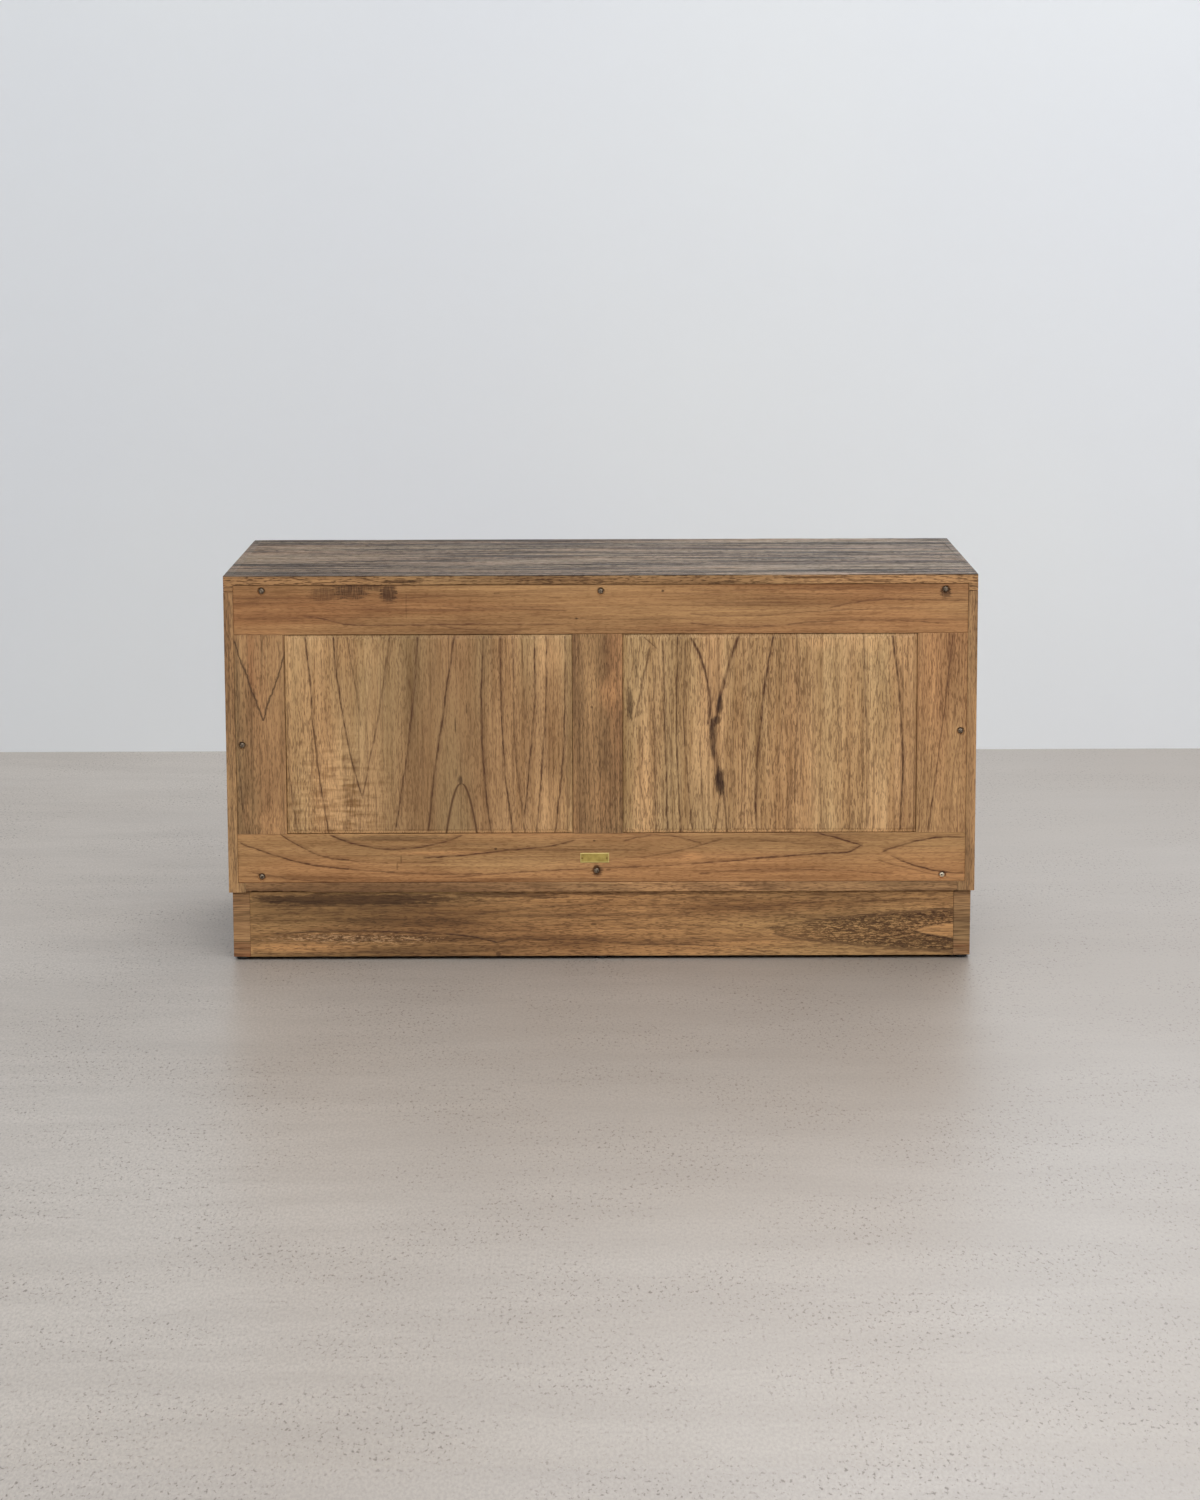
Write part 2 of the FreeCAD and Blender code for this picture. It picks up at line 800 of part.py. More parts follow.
def catch_magnets():
    """A magnet block under the drawer rail, behind the free edge of each door."""
    y = "door_back + strike_thickness + catch_play"
    blocks = []
    for side in SIDES:
        x = outward(side, "catch_middle - magnet_length / 2", "catch_middle + magnet_length / 2")
        z = ("rail_low - magnet_height", "rail_low")
        blocks.append(box(f"{side}_magnet", x, (y, f"{y} + magnet_depth"), z))
    subpart("catch_magnets", group("catch_magnets", blocks))


def strike_plate(side):
    x = outward(side, "catch_middle - strike_length / 2", "catch_middle + strike_length / 2")
    y = ("door_back", "door_back + strike_thickness")
    z = ("rail_low - magnet_height", "door_high - strike_edge")
    subpart(f"{side}_door_strike_plate", box(f"{side}_strike", x, y, z))


# Doors


def door_stile(label, side, x, groove_x, *bores):
    """A full-height stile, grooved along its inner edge."""
    z = ("door_low", "door_high")
    groove_y = ("door_groove", "door_groove + groove_width")
    blank = box(f"{label}_blank", outward(side, *x), ("front", "door_back"), z)
    groove = box(f"{label}_groove", outward(side, *groove_x), groove_y, z)
    subpart(label, cut(blank, groove, *bores))


def door_rail(label, side, z, groove_z):
    """A rail between the stiles, tongued into both and grooved along its inner edge."""
    between = outward(side, "door_near + door_member", "door_far - door_member")
    reach = outward(side, "door_near + door_member - tongue", "door_far - door_member + tongue")
    groove_y = ("door_groove", "door_groove + groove_width")
    blank = box(f"{label}_blank", between, ("front", "door_back"), z)
    tongues = box(f"{label}_tongues", reach, groove_y, z)
    groove = box(f"{label}_groove", reach, groove_y, groove_z)
    subpart(label, cut(fuse(f"{label}_whole", blank, tongues), groove))


def door(side):
    """A framed and panelled door, hinged at the outer side of the case."""
    name = f"{side}_door"
    middle_height = "(door_low + door_high) / 2"
    bore = knob(f"{name}_knob", beside(side, "catch_middle"), middle_height)
    free_x = ("door_near", "door_near + door_member")
    free_groove = ("door_near + door_member - groove_depth", "door_near + door_member")
    hinge_x = ("door_far - door_member", "door_far")
    hinge_groove = ("door_far - door_member", "door_far - door_member + groove_depth")
    door_stile(f"{name}_meeting_stile", side, free_x, free_groove, bore)
    door_stile(f"{name}_hinge_stile", side, hinge_x, hinge_groove)
    low = "door_low + door_member"
    high = "door_high - door_member"
    door_rail(f"{name}_bottom_rail", side, ("door_low", low), (f"{low} - groove_depth", low))
    door_rail(f"{name}_top_rail", side, (high, "door_high"), (high, f"{high} + groove_depth"))
    opening = outward(side, "door_near + door_member", "door_far - door_member")
    face = "front + panel_drop"
    raised_panel(f"{name}_panel", opening, (low, high), "door_groove", face, "front")
    strike_plate(side)


# Drawers


def drawer_side(label, side, x, groove_x, back):
    """A side of a drawer, grooved for the bottom and housed for the back. Returns it uncut too."""
    z = ("drawer_low", "drawer_high")
    y = ("drawer_front_back - drawer_socket", "drawer_end")
    groove_z = ("drawer_groove_low", "drawer_groove_high")
    blank = box(f"{label}_blank", outward(side, *x), y, z)
    groove = box(f"{label}_groove", outward(side, *groove_x), y, groove_z)
    subpart(label, cut(blank, groove, back))
    return blank


def drawer_back(name, side, near, far):
    """The back of a drawer. It stands on the bottom and is housed in the sides."""
    x = outward(side, f"{near} - drawer_groove_depth", f"{far} + drawer_groove_depth")
    end = "drawer_end - drawer_back_inset"
    z = ("drawer_groove_high", "drawer_high - drawer_back_drop")
    back = box(f"{name}_back_board", x, (f"{end} - drawer_side_thickness", end), z)
    return subpart(f"{name}_back", back)


def drawer_bottom(name, side, near, far):
    reach = "drawer_groove_depth - tongue_play"
    x = outward(side, f"{near} - ({reach})", f"{far} + {reach}")
    y = (f"drawer_front_back - ({reach})", "drawer_end")
    z = ("drawer_groove_low", "drawer_groove_high")
    subpart(f"{name}_bottom", box(f"{name}_bottom_board", x, y, z))


def drawer_front(name, side, groove_x, sides):
    """The front of a drawer, with sockets for the sides, a groove for the bottom and a knob."""
    middle_x = beside(side, "(middle + side_in) / 2")
    bore = knob(f"{name}_knob", middle_x, "(drawer_face_low + drawer_face_high) / 2")
    groove_y = ("drawer_front_back - drawer_groove_depth", "drawer_front_back")
    groove_z = ("drawer_groove_low", "drawer_groove_high")
    groove = box(f"{name}_front_groove", groove_x, groove_y, groove_z)
    x = outward(side, "door_near", "door_far")
    z = ("drawer_face_low", "drawer_face_high")
    blank = box(f"{name}_front_blank", x, ("front", "drawer_front_back"), z)
    subpart(f"{name}_front", cut(blank, *sides, groove, bore))


def drawer(side):
    """A drawer box of four boards with its bottom in grooves."""
    name = f"{side}_drawer"
    near = "drawer_near + drawer_side_thickness"
    far = "drawer_far - drawer_side_thickness"
    back = drawer_back(name, side, near, far)
    # The side nearer the middle of the cabinet is the left one in the right drawer.
    near_side, far_side = SIDES if side == "right" else SIDES[::-1]
    near_groove = (f"{near} - drawer_groove_depth", near)
    far_groove = (far, f"{far} + drawer_groove_depth")
    near_x = ("drawer_near", near)
    far_x = (far, "drawer_far")
    sides = [
        drawer_side(f"{name}_{near_side}_side", side, near_x, near_groove, back),
        drawer_side(f"{name}_{far_side}_side", side, far_x, far_groove, back),
    ]
    drawer_bottom(name, side, near, far)
    drawer_front(name, side, outward(side, near, far), sides)


def check_and_write():
    """Stops if anything failed to build, then writes each piece to its own file."""
    document.recompute()
    for item in document.Objects:
        if "Invalid" in item.State or "Error" in item.State:
            raise ValueError(f"{item.Label} did not build: {item.State}")
    os.makedirs("parts", exist_ok=True)
    for item in subparts:
        if item.Shape.isNull() or not item.Shape.isValid():
            raise ValueError(f"{item.Label} has no valid shape")
    for item in subparts:
        item.Shape.exportStep(f"parts/{item.Label}.step")
    print(len(subparts), "pieces written")


def main():
    fill_sheet()
    dowels = case_dowels()
    screw_spaces = back_screws()
    block_screw_spaces = plinth_fixings()
    pins = nameplate()
    back_spaces = group("back_spaces", [screw_spaces, pins])
    case(dowels, screw_spaces, block_screw_spaces)
    framed_back(back_spaces)
    plinth()
    hinges()
    catch_magnets()
    for side in SIDES:
        drawer_runners(side)
        door(side)
        drawer(side)
    check_and_write()


main()
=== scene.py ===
# %% [markdown]
# This lesson dresses a low wooden cabinet, seen from its back. The shapes and the moving parts
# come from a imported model, the frame. Every piece here is laid on that frame, in metres, so
# nothing is fitted by eye. X runs along the cabinet, +Y is its back and Z is up.

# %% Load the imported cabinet
import json
from math import cos, pi, radians, sin

import bmesh
import bpy
from mathutils import Matrix, Vector, noise as chance

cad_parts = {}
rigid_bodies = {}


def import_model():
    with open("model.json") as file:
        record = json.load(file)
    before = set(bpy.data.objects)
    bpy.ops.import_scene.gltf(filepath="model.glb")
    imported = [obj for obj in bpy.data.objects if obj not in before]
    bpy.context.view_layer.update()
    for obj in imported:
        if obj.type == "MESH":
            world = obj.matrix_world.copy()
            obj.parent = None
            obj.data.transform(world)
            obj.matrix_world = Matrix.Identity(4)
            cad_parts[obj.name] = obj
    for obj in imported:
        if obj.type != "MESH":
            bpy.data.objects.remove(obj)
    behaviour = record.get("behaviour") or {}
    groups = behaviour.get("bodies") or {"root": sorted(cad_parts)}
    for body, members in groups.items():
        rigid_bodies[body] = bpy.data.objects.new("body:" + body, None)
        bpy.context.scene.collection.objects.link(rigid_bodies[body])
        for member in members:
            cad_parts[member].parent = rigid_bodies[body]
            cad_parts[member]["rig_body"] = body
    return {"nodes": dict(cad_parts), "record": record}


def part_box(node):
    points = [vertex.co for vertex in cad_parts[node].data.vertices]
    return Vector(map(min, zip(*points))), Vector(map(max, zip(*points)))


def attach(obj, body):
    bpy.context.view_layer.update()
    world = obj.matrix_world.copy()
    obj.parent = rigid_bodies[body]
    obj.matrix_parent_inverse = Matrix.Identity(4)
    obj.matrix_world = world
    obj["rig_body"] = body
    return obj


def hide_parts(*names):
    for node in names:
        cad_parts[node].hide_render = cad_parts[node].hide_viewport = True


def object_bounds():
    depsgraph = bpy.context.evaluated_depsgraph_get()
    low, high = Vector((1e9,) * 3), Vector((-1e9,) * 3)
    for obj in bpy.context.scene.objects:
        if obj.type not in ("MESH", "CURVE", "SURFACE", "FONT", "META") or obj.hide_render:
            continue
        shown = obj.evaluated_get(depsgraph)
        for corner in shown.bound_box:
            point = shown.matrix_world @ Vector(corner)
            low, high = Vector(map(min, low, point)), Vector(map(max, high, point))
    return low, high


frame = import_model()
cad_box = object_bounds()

NODES = frame["nodes"]
SLOTS = {part["node"]: part["material_slot"] for part in frame["record"]["subparts"]}
print("nodes", len(NODES), "box", [round(n, 3) for corner in cad_box for n in corner])

# %% [markdown]
# Materials and Geometry Nodes are both trees of nodes. Each sum in a tree is a Math node, and a
# board's look takes dozens of them. A small class wraps a socket, so that a sum can be written as
# a sum in the script and still becomes nodes in the tree.

# %% Sums on sockets
class Wire:
    """A socket of a tree. A sum on it adds the Math node that works it out."""

    def __init__(self, socket):
        self.socket = socket

    def __add__(self, other):
        return calc("ADD", self, other)

    def __sub__(self, other):
        return calc("SUBTRACT", self, other)

    def __rsub__(self, other):
        return calc("SUBTRACT", other, self)

    def __mul__(self, other):
        return calc("MULTIPLY", self, other)

    def __truediv__(self, other):
        return calc("DIVIDE", self, other)

    def __rtruediv__(self, other):
        return calc("DIVIDE", other, self)

    def __pow__(self, other):
        return calc("POWER", self, other)

    def __abs__(self):
        return calc("ABSOLUTE", self)

    def times(self, factor, plus):
        """A product and a sum in one node."""
        return calc("MULTIPLY_ADD", self, factor, plus)


def feed(socket, value):
    """Links a socket to a wire, or sets its plain value."""
    if isinstance(value, Wire):
        socket.id_data.links.new(value.socket, socket)
    else:
        socket.default_value = value


def add(tree, kind, inputs=None, **settings):
    """Adds a node, sets its settings and fills its sockets, by name or number."""
    made = tree.nodes.new(kind)
    for name, value in settings.items():
        setattr(made, name, value)
    for name, value in (inputs or {}).items():
        feed(made.inputs[name], value)
    return made


def near(values, kind, inputs, **settings):
    """Adds a node to the tree that one of the values lies in."""
    tree = next(value.socket.id_data for value in values if isinstance(value, Wire))
    return add(tree, kind, inputs, **settings)


def calc(operation, *values, clamp=False):
    """One step of arithmetic."""
    inputs = dict(enumerate(values))
    return Wire(near(values, "ShaderNodeMath", inputs, operation=operation, use_clamp=clamp).outputs[0])


print("sums ready")

# %% [markdown]
# The other helpers are for what wood needs over and over: places that are split, joined or
# stretched, noise, soft steps, and colours that mix. Stretched noise is what makes grain: the
# same cloud, drawn long along the board and narrow across it.

# %% Places, noise and colours
def vector(operation, first, second=None, output=0):
    """One step of arithmetic on places."""
    inputs = {0: first} if second is None else {0: first, 1: second}
    return Wire(near((first, second), "ShaderNodeVectorMath", inputs, operation=operation).outputs[output])


def length(place):
    """How far a place is from the middle."""
    return vector("LENGTH", place, output="Value")


def split(place):
    """X, Y and Z of a place."""
    return [Wire(made) for made in near((place,), "ShaderNodeSeparateXYZ", {0: place}).outputs]


def join(*values):
    """A place from its X, Y and Z."""
    return Wire(near(values, "ShaderNodeCombineXYZ", dict(enumerate(values))).outputs[0])


def cloud(place, scales=None, detail=2.0, roughness=0.5):
    """Smooth noise between 0 and 1, with so many clouds to a metre along each axis."""
    stretched = vector("MULTIPLY", place, scales) if scales else place
    inputs = {"Vector": stretched, "Scale": 1.0, "Detail": detail, "Roughness": roughness}
    return Wire(near((place,), "ShaderNodeTexNoise", inputs).outputs[0])


def step(value, low, high, to_low=0.0, to_high=1.0):
    """A soft step between two values, which may run downwards."""
    inputs = {"Value": value, "From Min": low, "From Max": high, "To Min": to_low, "To Max": to_high}
    return Wire(near((value,), "ShaderNodeMapRange", inputs, interpolation_type="SMOOTHSTEP").outputs[0])


def blend(amount, first, second, mode="MIX"):
    """Mixes two colours."""
    made = near((amount, first, second), "ShaderNodeMix", None, data_type="RGBA", blend_type=mode)
    for number, value in ((0, amount), (6, first), (7, second)):
        feed(made.inputs[number], value)
    return Wire(made.outputs[2])


def paint(red, green, blue):
    """A colour as it shows on a screen, 0 to 255, turned into the linear one that nodes take."""
    return tuple(((c / 255 + 0.055) / 1.055) ** 2.4 for c in (red, green, blue)) + (1.0,)


print("mid grey is", [round(c, 3) for c in paint(128, 128, 128)])

# %% [markdown]
# A node group is a tree that other trees can use like one node. These helpers make a group with
# named inputs, put one into a tree, and start a material.

# %% Groups and materials
def new_group(name, inputs, outputs, kind="ShaderNodeTree"):
    """An empty node group, its inputs as wires by name, and the sockets of its output node.

    An input is given by the value that it starts with, or by its kind if it starts with none."""
    tree = bpy.data.node_groups.new(name, kind)
    for label, value in inputs.items():
        size = len(value) if isinstance(value, tuple) else type(value)
        socket = "NodeSocket" + {3: "Vector", 4: "Color", float: "Float", int: "Int"}.get(size, str(value))
        made = tree.interface.new_socket(label, in_out="INPUT", socket_type=socket)
        if not isinstance(value, str):
            made.default_value = value
    for label, socket in outputs.items():
        tree.interface.new_socket(label, in_out="OUTPUT", socket_type="NodeSocket" + socket)
    given = {made.name: Wire(made) for made in tree.nodes.new("NodeGroupInput").outputs}
    return tree, given, tree.nodes.new("NodeGroupOutput").inputs


def use(group, inputs):
    """Puts a node group into the tree that its inputs come from."""
    made = near(inputs.values(), "ShaderNodeGroup", None, node_tree=group)
    for name, value in inputs.items():
        feed(made.inputs[name], value)
    return {output.name: Wire(output) for output in made.outputs}


def new_finish(name):
    """An empty material, its shader's inputs, and the place that its patterns read."""
    material = bpy.data.materials.new(name)
    material.use_nodes = True
    where = Wire(add(material.node_tree, "ShaderNodeTexCoord").outputs["Object"])
    return material, material.node_tree.nodes["Principled BSDF"].inputs, where


def bumped(sockets, height, strength, distance):
    """Lets a height raise the surface."""
    inputs = {"Strength": strength, "Distance": distance, "Height": height}
    feed(sockets["Normal"], Wire(near((height,), "ShaderNodeBump", inputs).outputs[0]))


print("groups ready")

# %% [markdown]
# The boards are old, open-pored wood. A board's look comes from how it was cut from the log: the
# growth rings are shells around the heart, and each ring ends in a thin dark line. Where the saw
# runs along them they show as straight lines, and where it cuts through them as arches. So the
# pattern is a distance from the heart of a log, in metres along, through and across the board.
# One group holds it, and every board sets its own heart, ring width, colours and seed.

# %% The wood group's inputs
wood, given, made_of = new_group("old wood", {
    "Place": "Vector", "Seed": 0.0,
    "Pale": paint(182, 142, 100), "Warm": paint(150, 110, 72), "Dark": paint(78, 52, 34),
    "Heart across": 0.3, "Heart along": 0.0, "Heart depth": 0.05, "Taper": 0.02, "Sharpness": 2.0,
    "Ring width": 0.014, "Rings": 0.6, "Wander": 0.006, "Streaks": 1.5, "Pores": 0.6, "Patches": 1.8,
    "Lines": 0.0, "Stain": 0.0, "Shade": 0.0, "Light": 0.0, "Curl": 0.0,
}, {"Colour": "Color", "Roughness": "Float", "Height": "Float"})
seeded = vector("ADD", given["Place"], join(*(given["Seed"] * k for k in (0.37, 1.13, 2.71))))
print("inputs", len(given) - 1)

# %% [markdown]
# The distance from the heart, divided by the ring width, counts the rings, and its fraction says
# where in a ring the place lies. A little bending and jitter of the log keeps them from being
# perfect shells. The late wood at a ring's end is dark, and luck makes some rings stronger.

# %% Rings
along, through, aside = split(given["Place"])
bend = cloud(seeded, (3.0, 8.0, 8.0), 1.0) - 0.5
jitter = cloud(seeded, (28.0, 90.0, 90.0), 1.0) - 0.5
across = jitter.times(0.0022, bend.times(given["Wander"] * 4.0, aside - given["Heart across"]))
deep = (along - given["Heart along"]) * given["Taper"] + given["Heart depth"] + through
powers = [abs(side) ** given["Sharpness"] for side in (across, deep)]
reach = (powers[0] + powers[1]) ** (1.0 / given["Sharpness"])
spread = cloud(join(reach, given["Seed"]), (30.0, 1.0, 1.0), 1.0)
ring = spread.times(1.6, reach / given["Ring width"])
part = calc("FRACT", ring)
count = calc("FLOOR", ring) + given["Seed"]
luck = Wire(add(wood, "ShaderNodeTexWhiteNoise", {"W": count}, noise_dimensions="1D").outputs[0])
core = step(part, 0.80, 0.95) * step(part, 1.0, 0.965)
late = calc("MAXIMUM", core, part ** 4.0 * 0.4) * step(luck, -0.1, 1.0, 0.25, 1.0) * given["Rings"]
print("rings", len(wood.nodes), "nodes so far")

# %% [markdown]
# Between the rings lies the grain itself: fine fibres, wider streaks, cloudy patches, and the
# pores, which are short and long dark dashes. All are noise stretched along the board.

# %% Fibres, patches and pores
fibre = cloud(seeded, (8.0, 380.0, 380.0), 3.0, 0.7)
vein = step(cloud(seeded, (4.0, 210.0, 210.0), 1.0), 0.56, 0.72, 0.0, 0.35)
streak = cloud(seeded, (2.0, 48.0, 48.0), 2.0)
patch = cloud(seeded, (3.0, 11.0, 11.0), 3.0, 0.55)
hue = cloud(seeded, (2.0, 17.0, 17.0), 1.0)
open_pores = step(cloud(seeded, (110.0, 780.0, 780.0), 1.0), 0.50, 0.66)
long_pores = step(cloud(seeded, (42.0, 560.0, 560.0), 1.0), 0.55, 0.70)
pores = calc("MAXIMUM", open_pores, long_pores) * step(patch, 0.3, 0.6, 0.6, 1.0)
ripple = cloud(seeded, (130.0, 26.0, 26.0), 2.0) - 0.5
tone = (patch - 0.5) * given["Patches"]
tone = (streak - 0.5).times(given["Streaks"], tone)
tone = (fibre - 0.5).times(given["Streaks"], tone)
tone = calc("ADD", ripple.times(given["Curl"], tone), 0.5, clamp=True)
print("grain", len(wood.nodes), "nodes so far")

# %% [markdown]
# The colour is laid on as a maker would see it: pale to warm wood, a shift of hue, places that are
# darker or lighter, the pores and ring lines in the dark colour, and old dirt over all. On some
# boards a few of the darker and lighter places, lines and smudges are painted shadow and painted
# highlight, at joints, along panel edges and under the case.

# %% Colour of the wood
def tinted(amount, colour, shade, start=None):
    """Multiplies a colour by a shade, where the amount says so."""
    return blend(amount, colour, blend(1.0, start or colour, shade, "MULTIPLY"))


colour = blend(tone, given["Pale"], given["Warm"])
colour = tinted(step(hue, 0.35, 0.65), colour, (0.90, 1.0, 1.02, 1.0))
colour = tinted(given["Shade"], colour, (0.52, 0.48, 0.44, 1.0))
colour = tinted(given["Light"], colour, (1.25, 1.22, 1.2, 1.0), given["Pale"])
colour = blend(pores * given["Pores"], colour, given["Dark"])
marked = calc("MAXIMUM", calc("MAXIMUM", late, given["Lines"]), vein)
colour = blend(calc("MULTIPLY", marked, 0.95, clamp=True), colour, given["Dark"])
feed(made_of["Colour"], tinted(given["Stain"], colour, (0.30, 0.26, 0.24, 1.0)))
feed(made_of["Roughness"], pores.times(0.2, fibre.times(0.2, 0.45)))
feed(made_of["Height"], pores.times(-0.9, late * -0.4) + fibre * 0.5)
print("the wood group has", len(wood.nodes), "nodes")

# %% [markdown]
# Some marks are one of a kind: a growth line that leans, an arch, a smudge of dirt. A formula for
# a whole log never puts them where this cabinet has them, so each has a small group of its own,
# and a board adds as many as it needs. Each group also takes the marks before it and gives the
# stronger of the two, so groups can be chained. A line is a parabola across the grain, thin and
# dark, with a soft edge on one side.

# %% A growth line
def give_mask(made_of, mask, given):
    """The mask times its strength, over the marks before it."""
    feed(made_of["Mask"], calc("MAXIMUM", mask * given["Strength"], given["Before"]))


line_group, given, made_of = new_group("growth line", {
    "Run": "Vector", "Across": 0.0, "Curve": "Vector", "Ends": "Vector", "Width": 0.0014, "Fade": 0.008,
    "Strength": 0.7, "Before": 0.0}, {"Mask": "Float"})
off = given["Across"] - vector("DOT_PRODUCT", given["Run"], given["Curve"], "Value")
core = step(abs(off), given["Width"], 0.0)
soft = step(off, given["Fade"], 0.0) * calc("GREATER_THAN", off, 0.0)
mask = calc("MAXIMUM", core, soft * 0.33)
run = split(given["Run"])[1]
for end, inward in zip(split(given["Ends"]), (0.06, -0.06)):
    mask = mask * step(run, end, end + inward)
give_mask(made_of, mask, given)
print("line", len(line_group.nodes), "nodes")

# %% [markdown]
# An arch is where the saw cut through a ring: two arms that spread from a tip. The group also
# gives what lies inside the arms, because the wood there often has another colour.

# %% An arch
arch_group, given, made_of = new_group("arch", {
    "Along": 0.0, "Across": 0.0, "Tip along": 0.0, "Tip across": 0.0, "Opening": 0.1, "Power": 0.5,
    "Width": 0.0016, "Strength": 0.7, "Before": 0.0}, {"Mask": "Float", "Inside": "Float"})
run = calc("MAXIMUM", (given["Along"] - given["Tip along"]) * calc("SIGN", given["Opening"]), 0.0)
half = run ** given["Power"] * abs(given["Opening"])
off = abs(given["Across"] - given["Tip across"]) - half
begun = step(run, 0.0, 0.0005)
give_mask(made_of, step(abs(off), given["Width"], 0.0) * begun, given)
feed(made_of["Inside"], step(off, 0.0, -0.004) * begun)
print("arch", len(arch_group.nodes), "nodes")

# %% [markdown]
# Dirt and dark knots have ragged edges, so a smudge is an oval whose distance is shaken by noise.

# %% A smudge
def apart(place, centre, size):
    """The distance from a centre, 1 at the rim of an oval of this half size."""
    return length(vector("DIVIDE", vector("SUBTRACT", place, centre), size))


smudge_group, given, made_of = new_group("smudge", {
    "Place": "Vector", "Centre": "Vector", "Size": (0.02, 1.0, 0.01), "Ragged": 0.5,
    "Grain": (60.0, 60.0, 400.0), "Strength": 0.7, "Before": 0.0}, {"Mask": "Float"})
far = apart(given["Place"], given["Centre"], given["Size"])
rag = (cloud(given["Place"], given["Grain"], 3.0, 0.65) - 0.5) * given["Ragged"]
give_mask(made_of, step(rag.times(3.0, far), 1.1, 0.6), given)
print("smudge", len(smudge_group.nodes), "nodes")

# %% [markdown]
# The photographed side is placed on the picture, 1200 pixels wide and 1500 high. At the
# cabinet's back one pixel is close to 1.47 mm, so a mark can be written where it is seen. Boards
# are turned so that the first axis runs along the grain: up a stile, across a rail, from front to
# back on a side's end. So a place in the picture becomes another pair of numbers on each.

# %% From the picture to the grain
PIXEL_WIDE, PIXEL_HIGH = 0.001467, 0.001486
MIDDLE_PIXEL, TOP_PIXEL = 600.25, 573.9


def seen_x(px):
    """X in metres on the cabinet's back, from pixels across the picture."""
    return -(px - MIDDLE_PIXEL) * PIXEL_WIDE


def seen_z(py):
    """Z in metres on the cabinet's back, from pixels down the picture."""
    return cad_box[1][2] - (py - TOP_PIXEL) * PIXEL_HIGH


def grain_spot(turn, px, py):
    """How far along the grain and across it a place of the picture lies."""
    x, z = seen_x(px), seen_z(py)
    return {"upright": (z, -x), "level": (x, z), "flat": (x, -z), "side": (z, x), "deep": (0.25, z)}[turn]


def oval(turn, px, py, long, wide):
    """Centre and half size of a mark in the grain's own axes."""
    along, across = grain_spot(turn, px, py)
    if turn in ("flat", "side"):
        return (along, across, 0.0), (long, wide, 5.0)
    return (along, 0.0, across), (long, 5.0, wide)


print("middle of the back", round(seen_x(MIDDLE_PIXEL), 4), round(seen_z(733.5), 4))

# %% [markdown]
# A growth line is written as three places, how dark it is and how wide. A parabola through the
# three places is enough, and its three numbers fit in one vector. Slow and quick noise bend all
# lines a little, and more noise makes them faint or dashed in places, as on the boards.

# %% Lines on a board
def curve_through(points):
    """The three numbers of a parabola through three points."""
    (a, p), (b, q), (c, r) = points
    k = p / ((a - b) * (a - c))
    m = q / ((b - a) * (b - c))
    n = r / ((c - a) * (c - b))
    return (k * b * c + m * a * c + n * a * b, -k * (b + c) - m * (a + c) - n * (a + b), k + m + n)


def lines_at(place, turn, lines, before=0.0):
    """Growth lines, and a few lines of painted shadow along joints: three places of each in the picture,
    how dark and how wide in pixels.
    """
    along, through, aside = split(place)
    along = along * 10.0
    wobble = cloud(place, (45.0, 60.0, 120.0), 3.0, 0.6) - 0.5
    wave = cloud(place, (9.0, 20.0, 20.0), 0.0) - 0.5
    faint = step(cloud(place, (35.0, 60.0, 60.0)), 0.3, 0.55, 0.7, 1.1)
    dashed = step(cloud(place, (70.0, 520.0, 520.0), 1.0), 0.36, 0.60, 0.62, 1.2)
    across = wave.times(0.004, wobble.times(0.0042, through if turn in ("flat", "side") else aside))
    inputs = {"Run": join(1.0, along, along * along), "Across": across}
    for *pixels, strength, width in lines:
        spots = [grain_spot(turn, *pixels[i:i + 2]) for i in (0, 2, 4)]
        points = [(spot[0] * 10.0, spot[1]) for spot in spots]
        first, last = min(points)[0] - 0.05, max(points)[0] + 0.05
        inputs.update({"Curve": curve_through(points), "Ends": (first, last, 0.0),
                       "Width": width * 0.00155, "Strength": strength, "Before": before})
        before = use(line_group, inputs)["Mask"]
    return before * faint * dashed


print("the square's own numbers", curve_through([(0, 0), (5, 25), (10, 100)]))

# %% [markdown]
# Smudges and soft spots are written in one way too: a place, a half length along the grain, a half
# width across it, and a strength. A board's marks then are a few short lists, one for each thing
# that can happen to it: lines, stain, shade, light, and the ripple of curly grain. Some of these
# marks are painted shadow along joints and under the case, and painted highlight along panel edges.

# %% Smudges and spots on a board
def smudges_at(place, turn, smudges, ragged=0.5):
    """Ragged smudges of dirt, and on the plinth also a band of painted shadow."""
    before = 0.0
    for *where, strength in smudges:
        centre, size = oval(turn, *where)
        before = use(smudge_group, {"Place": place, "Centre": centre, "Size": size, "Ragged": ragged,
                                    "Strength": strength, "Before": before})["Mask"]
    return before


def spots_at(place, turn, spots, before=0.0):
    """Soft spots that are lighter or darker than the board."""
    for *where, strength in spots:
        far = apart(place, *oval(turn, *where))
        before = calc("MAXIMUM", step(far, 1.25, 0.2, 0.0, strength), before)
    return before


MAKERS = {"Lines": lines_at, "Stain": smudges_at, "Shade": spots_at, "Light": spots_at, "Curl": spots_at}


def arch_at(turn, tip, along, across, opening, power, width, strength, before=0.0):
    """An arch with its tip at a place of the picture."""
    tip_along, tip_across = grain_spot(turn, *tip)
    return use(arch_group, {
        "Along": along, "Across": across, "Tip along": tip_along, "Tip across": tip_across,
        "Opening": opening, "Power": power, "Width": width, "Strength": strength, "Before": before})


print("kinds of marks", list(MAKERS))

# %% [markdown]
# A board's material reads Object coordinates, which are metres in the cabinet's own frame because
# every piece sits at the origin. A Mapping node turns them so that the first axis runs along the
# grain, the second through the board and the third across it. An upright board, a level one, a
# flat one and one that runs from front to back each need another turn.

# %% A board's finish
TURNS = {
    "level": (0, 0, 0), "upright": (0, 90, 0), "flat": (90, 0, 0), "side": (90, 0, 90), "deep": (0, 0, -90),
}
FINISHES = {}


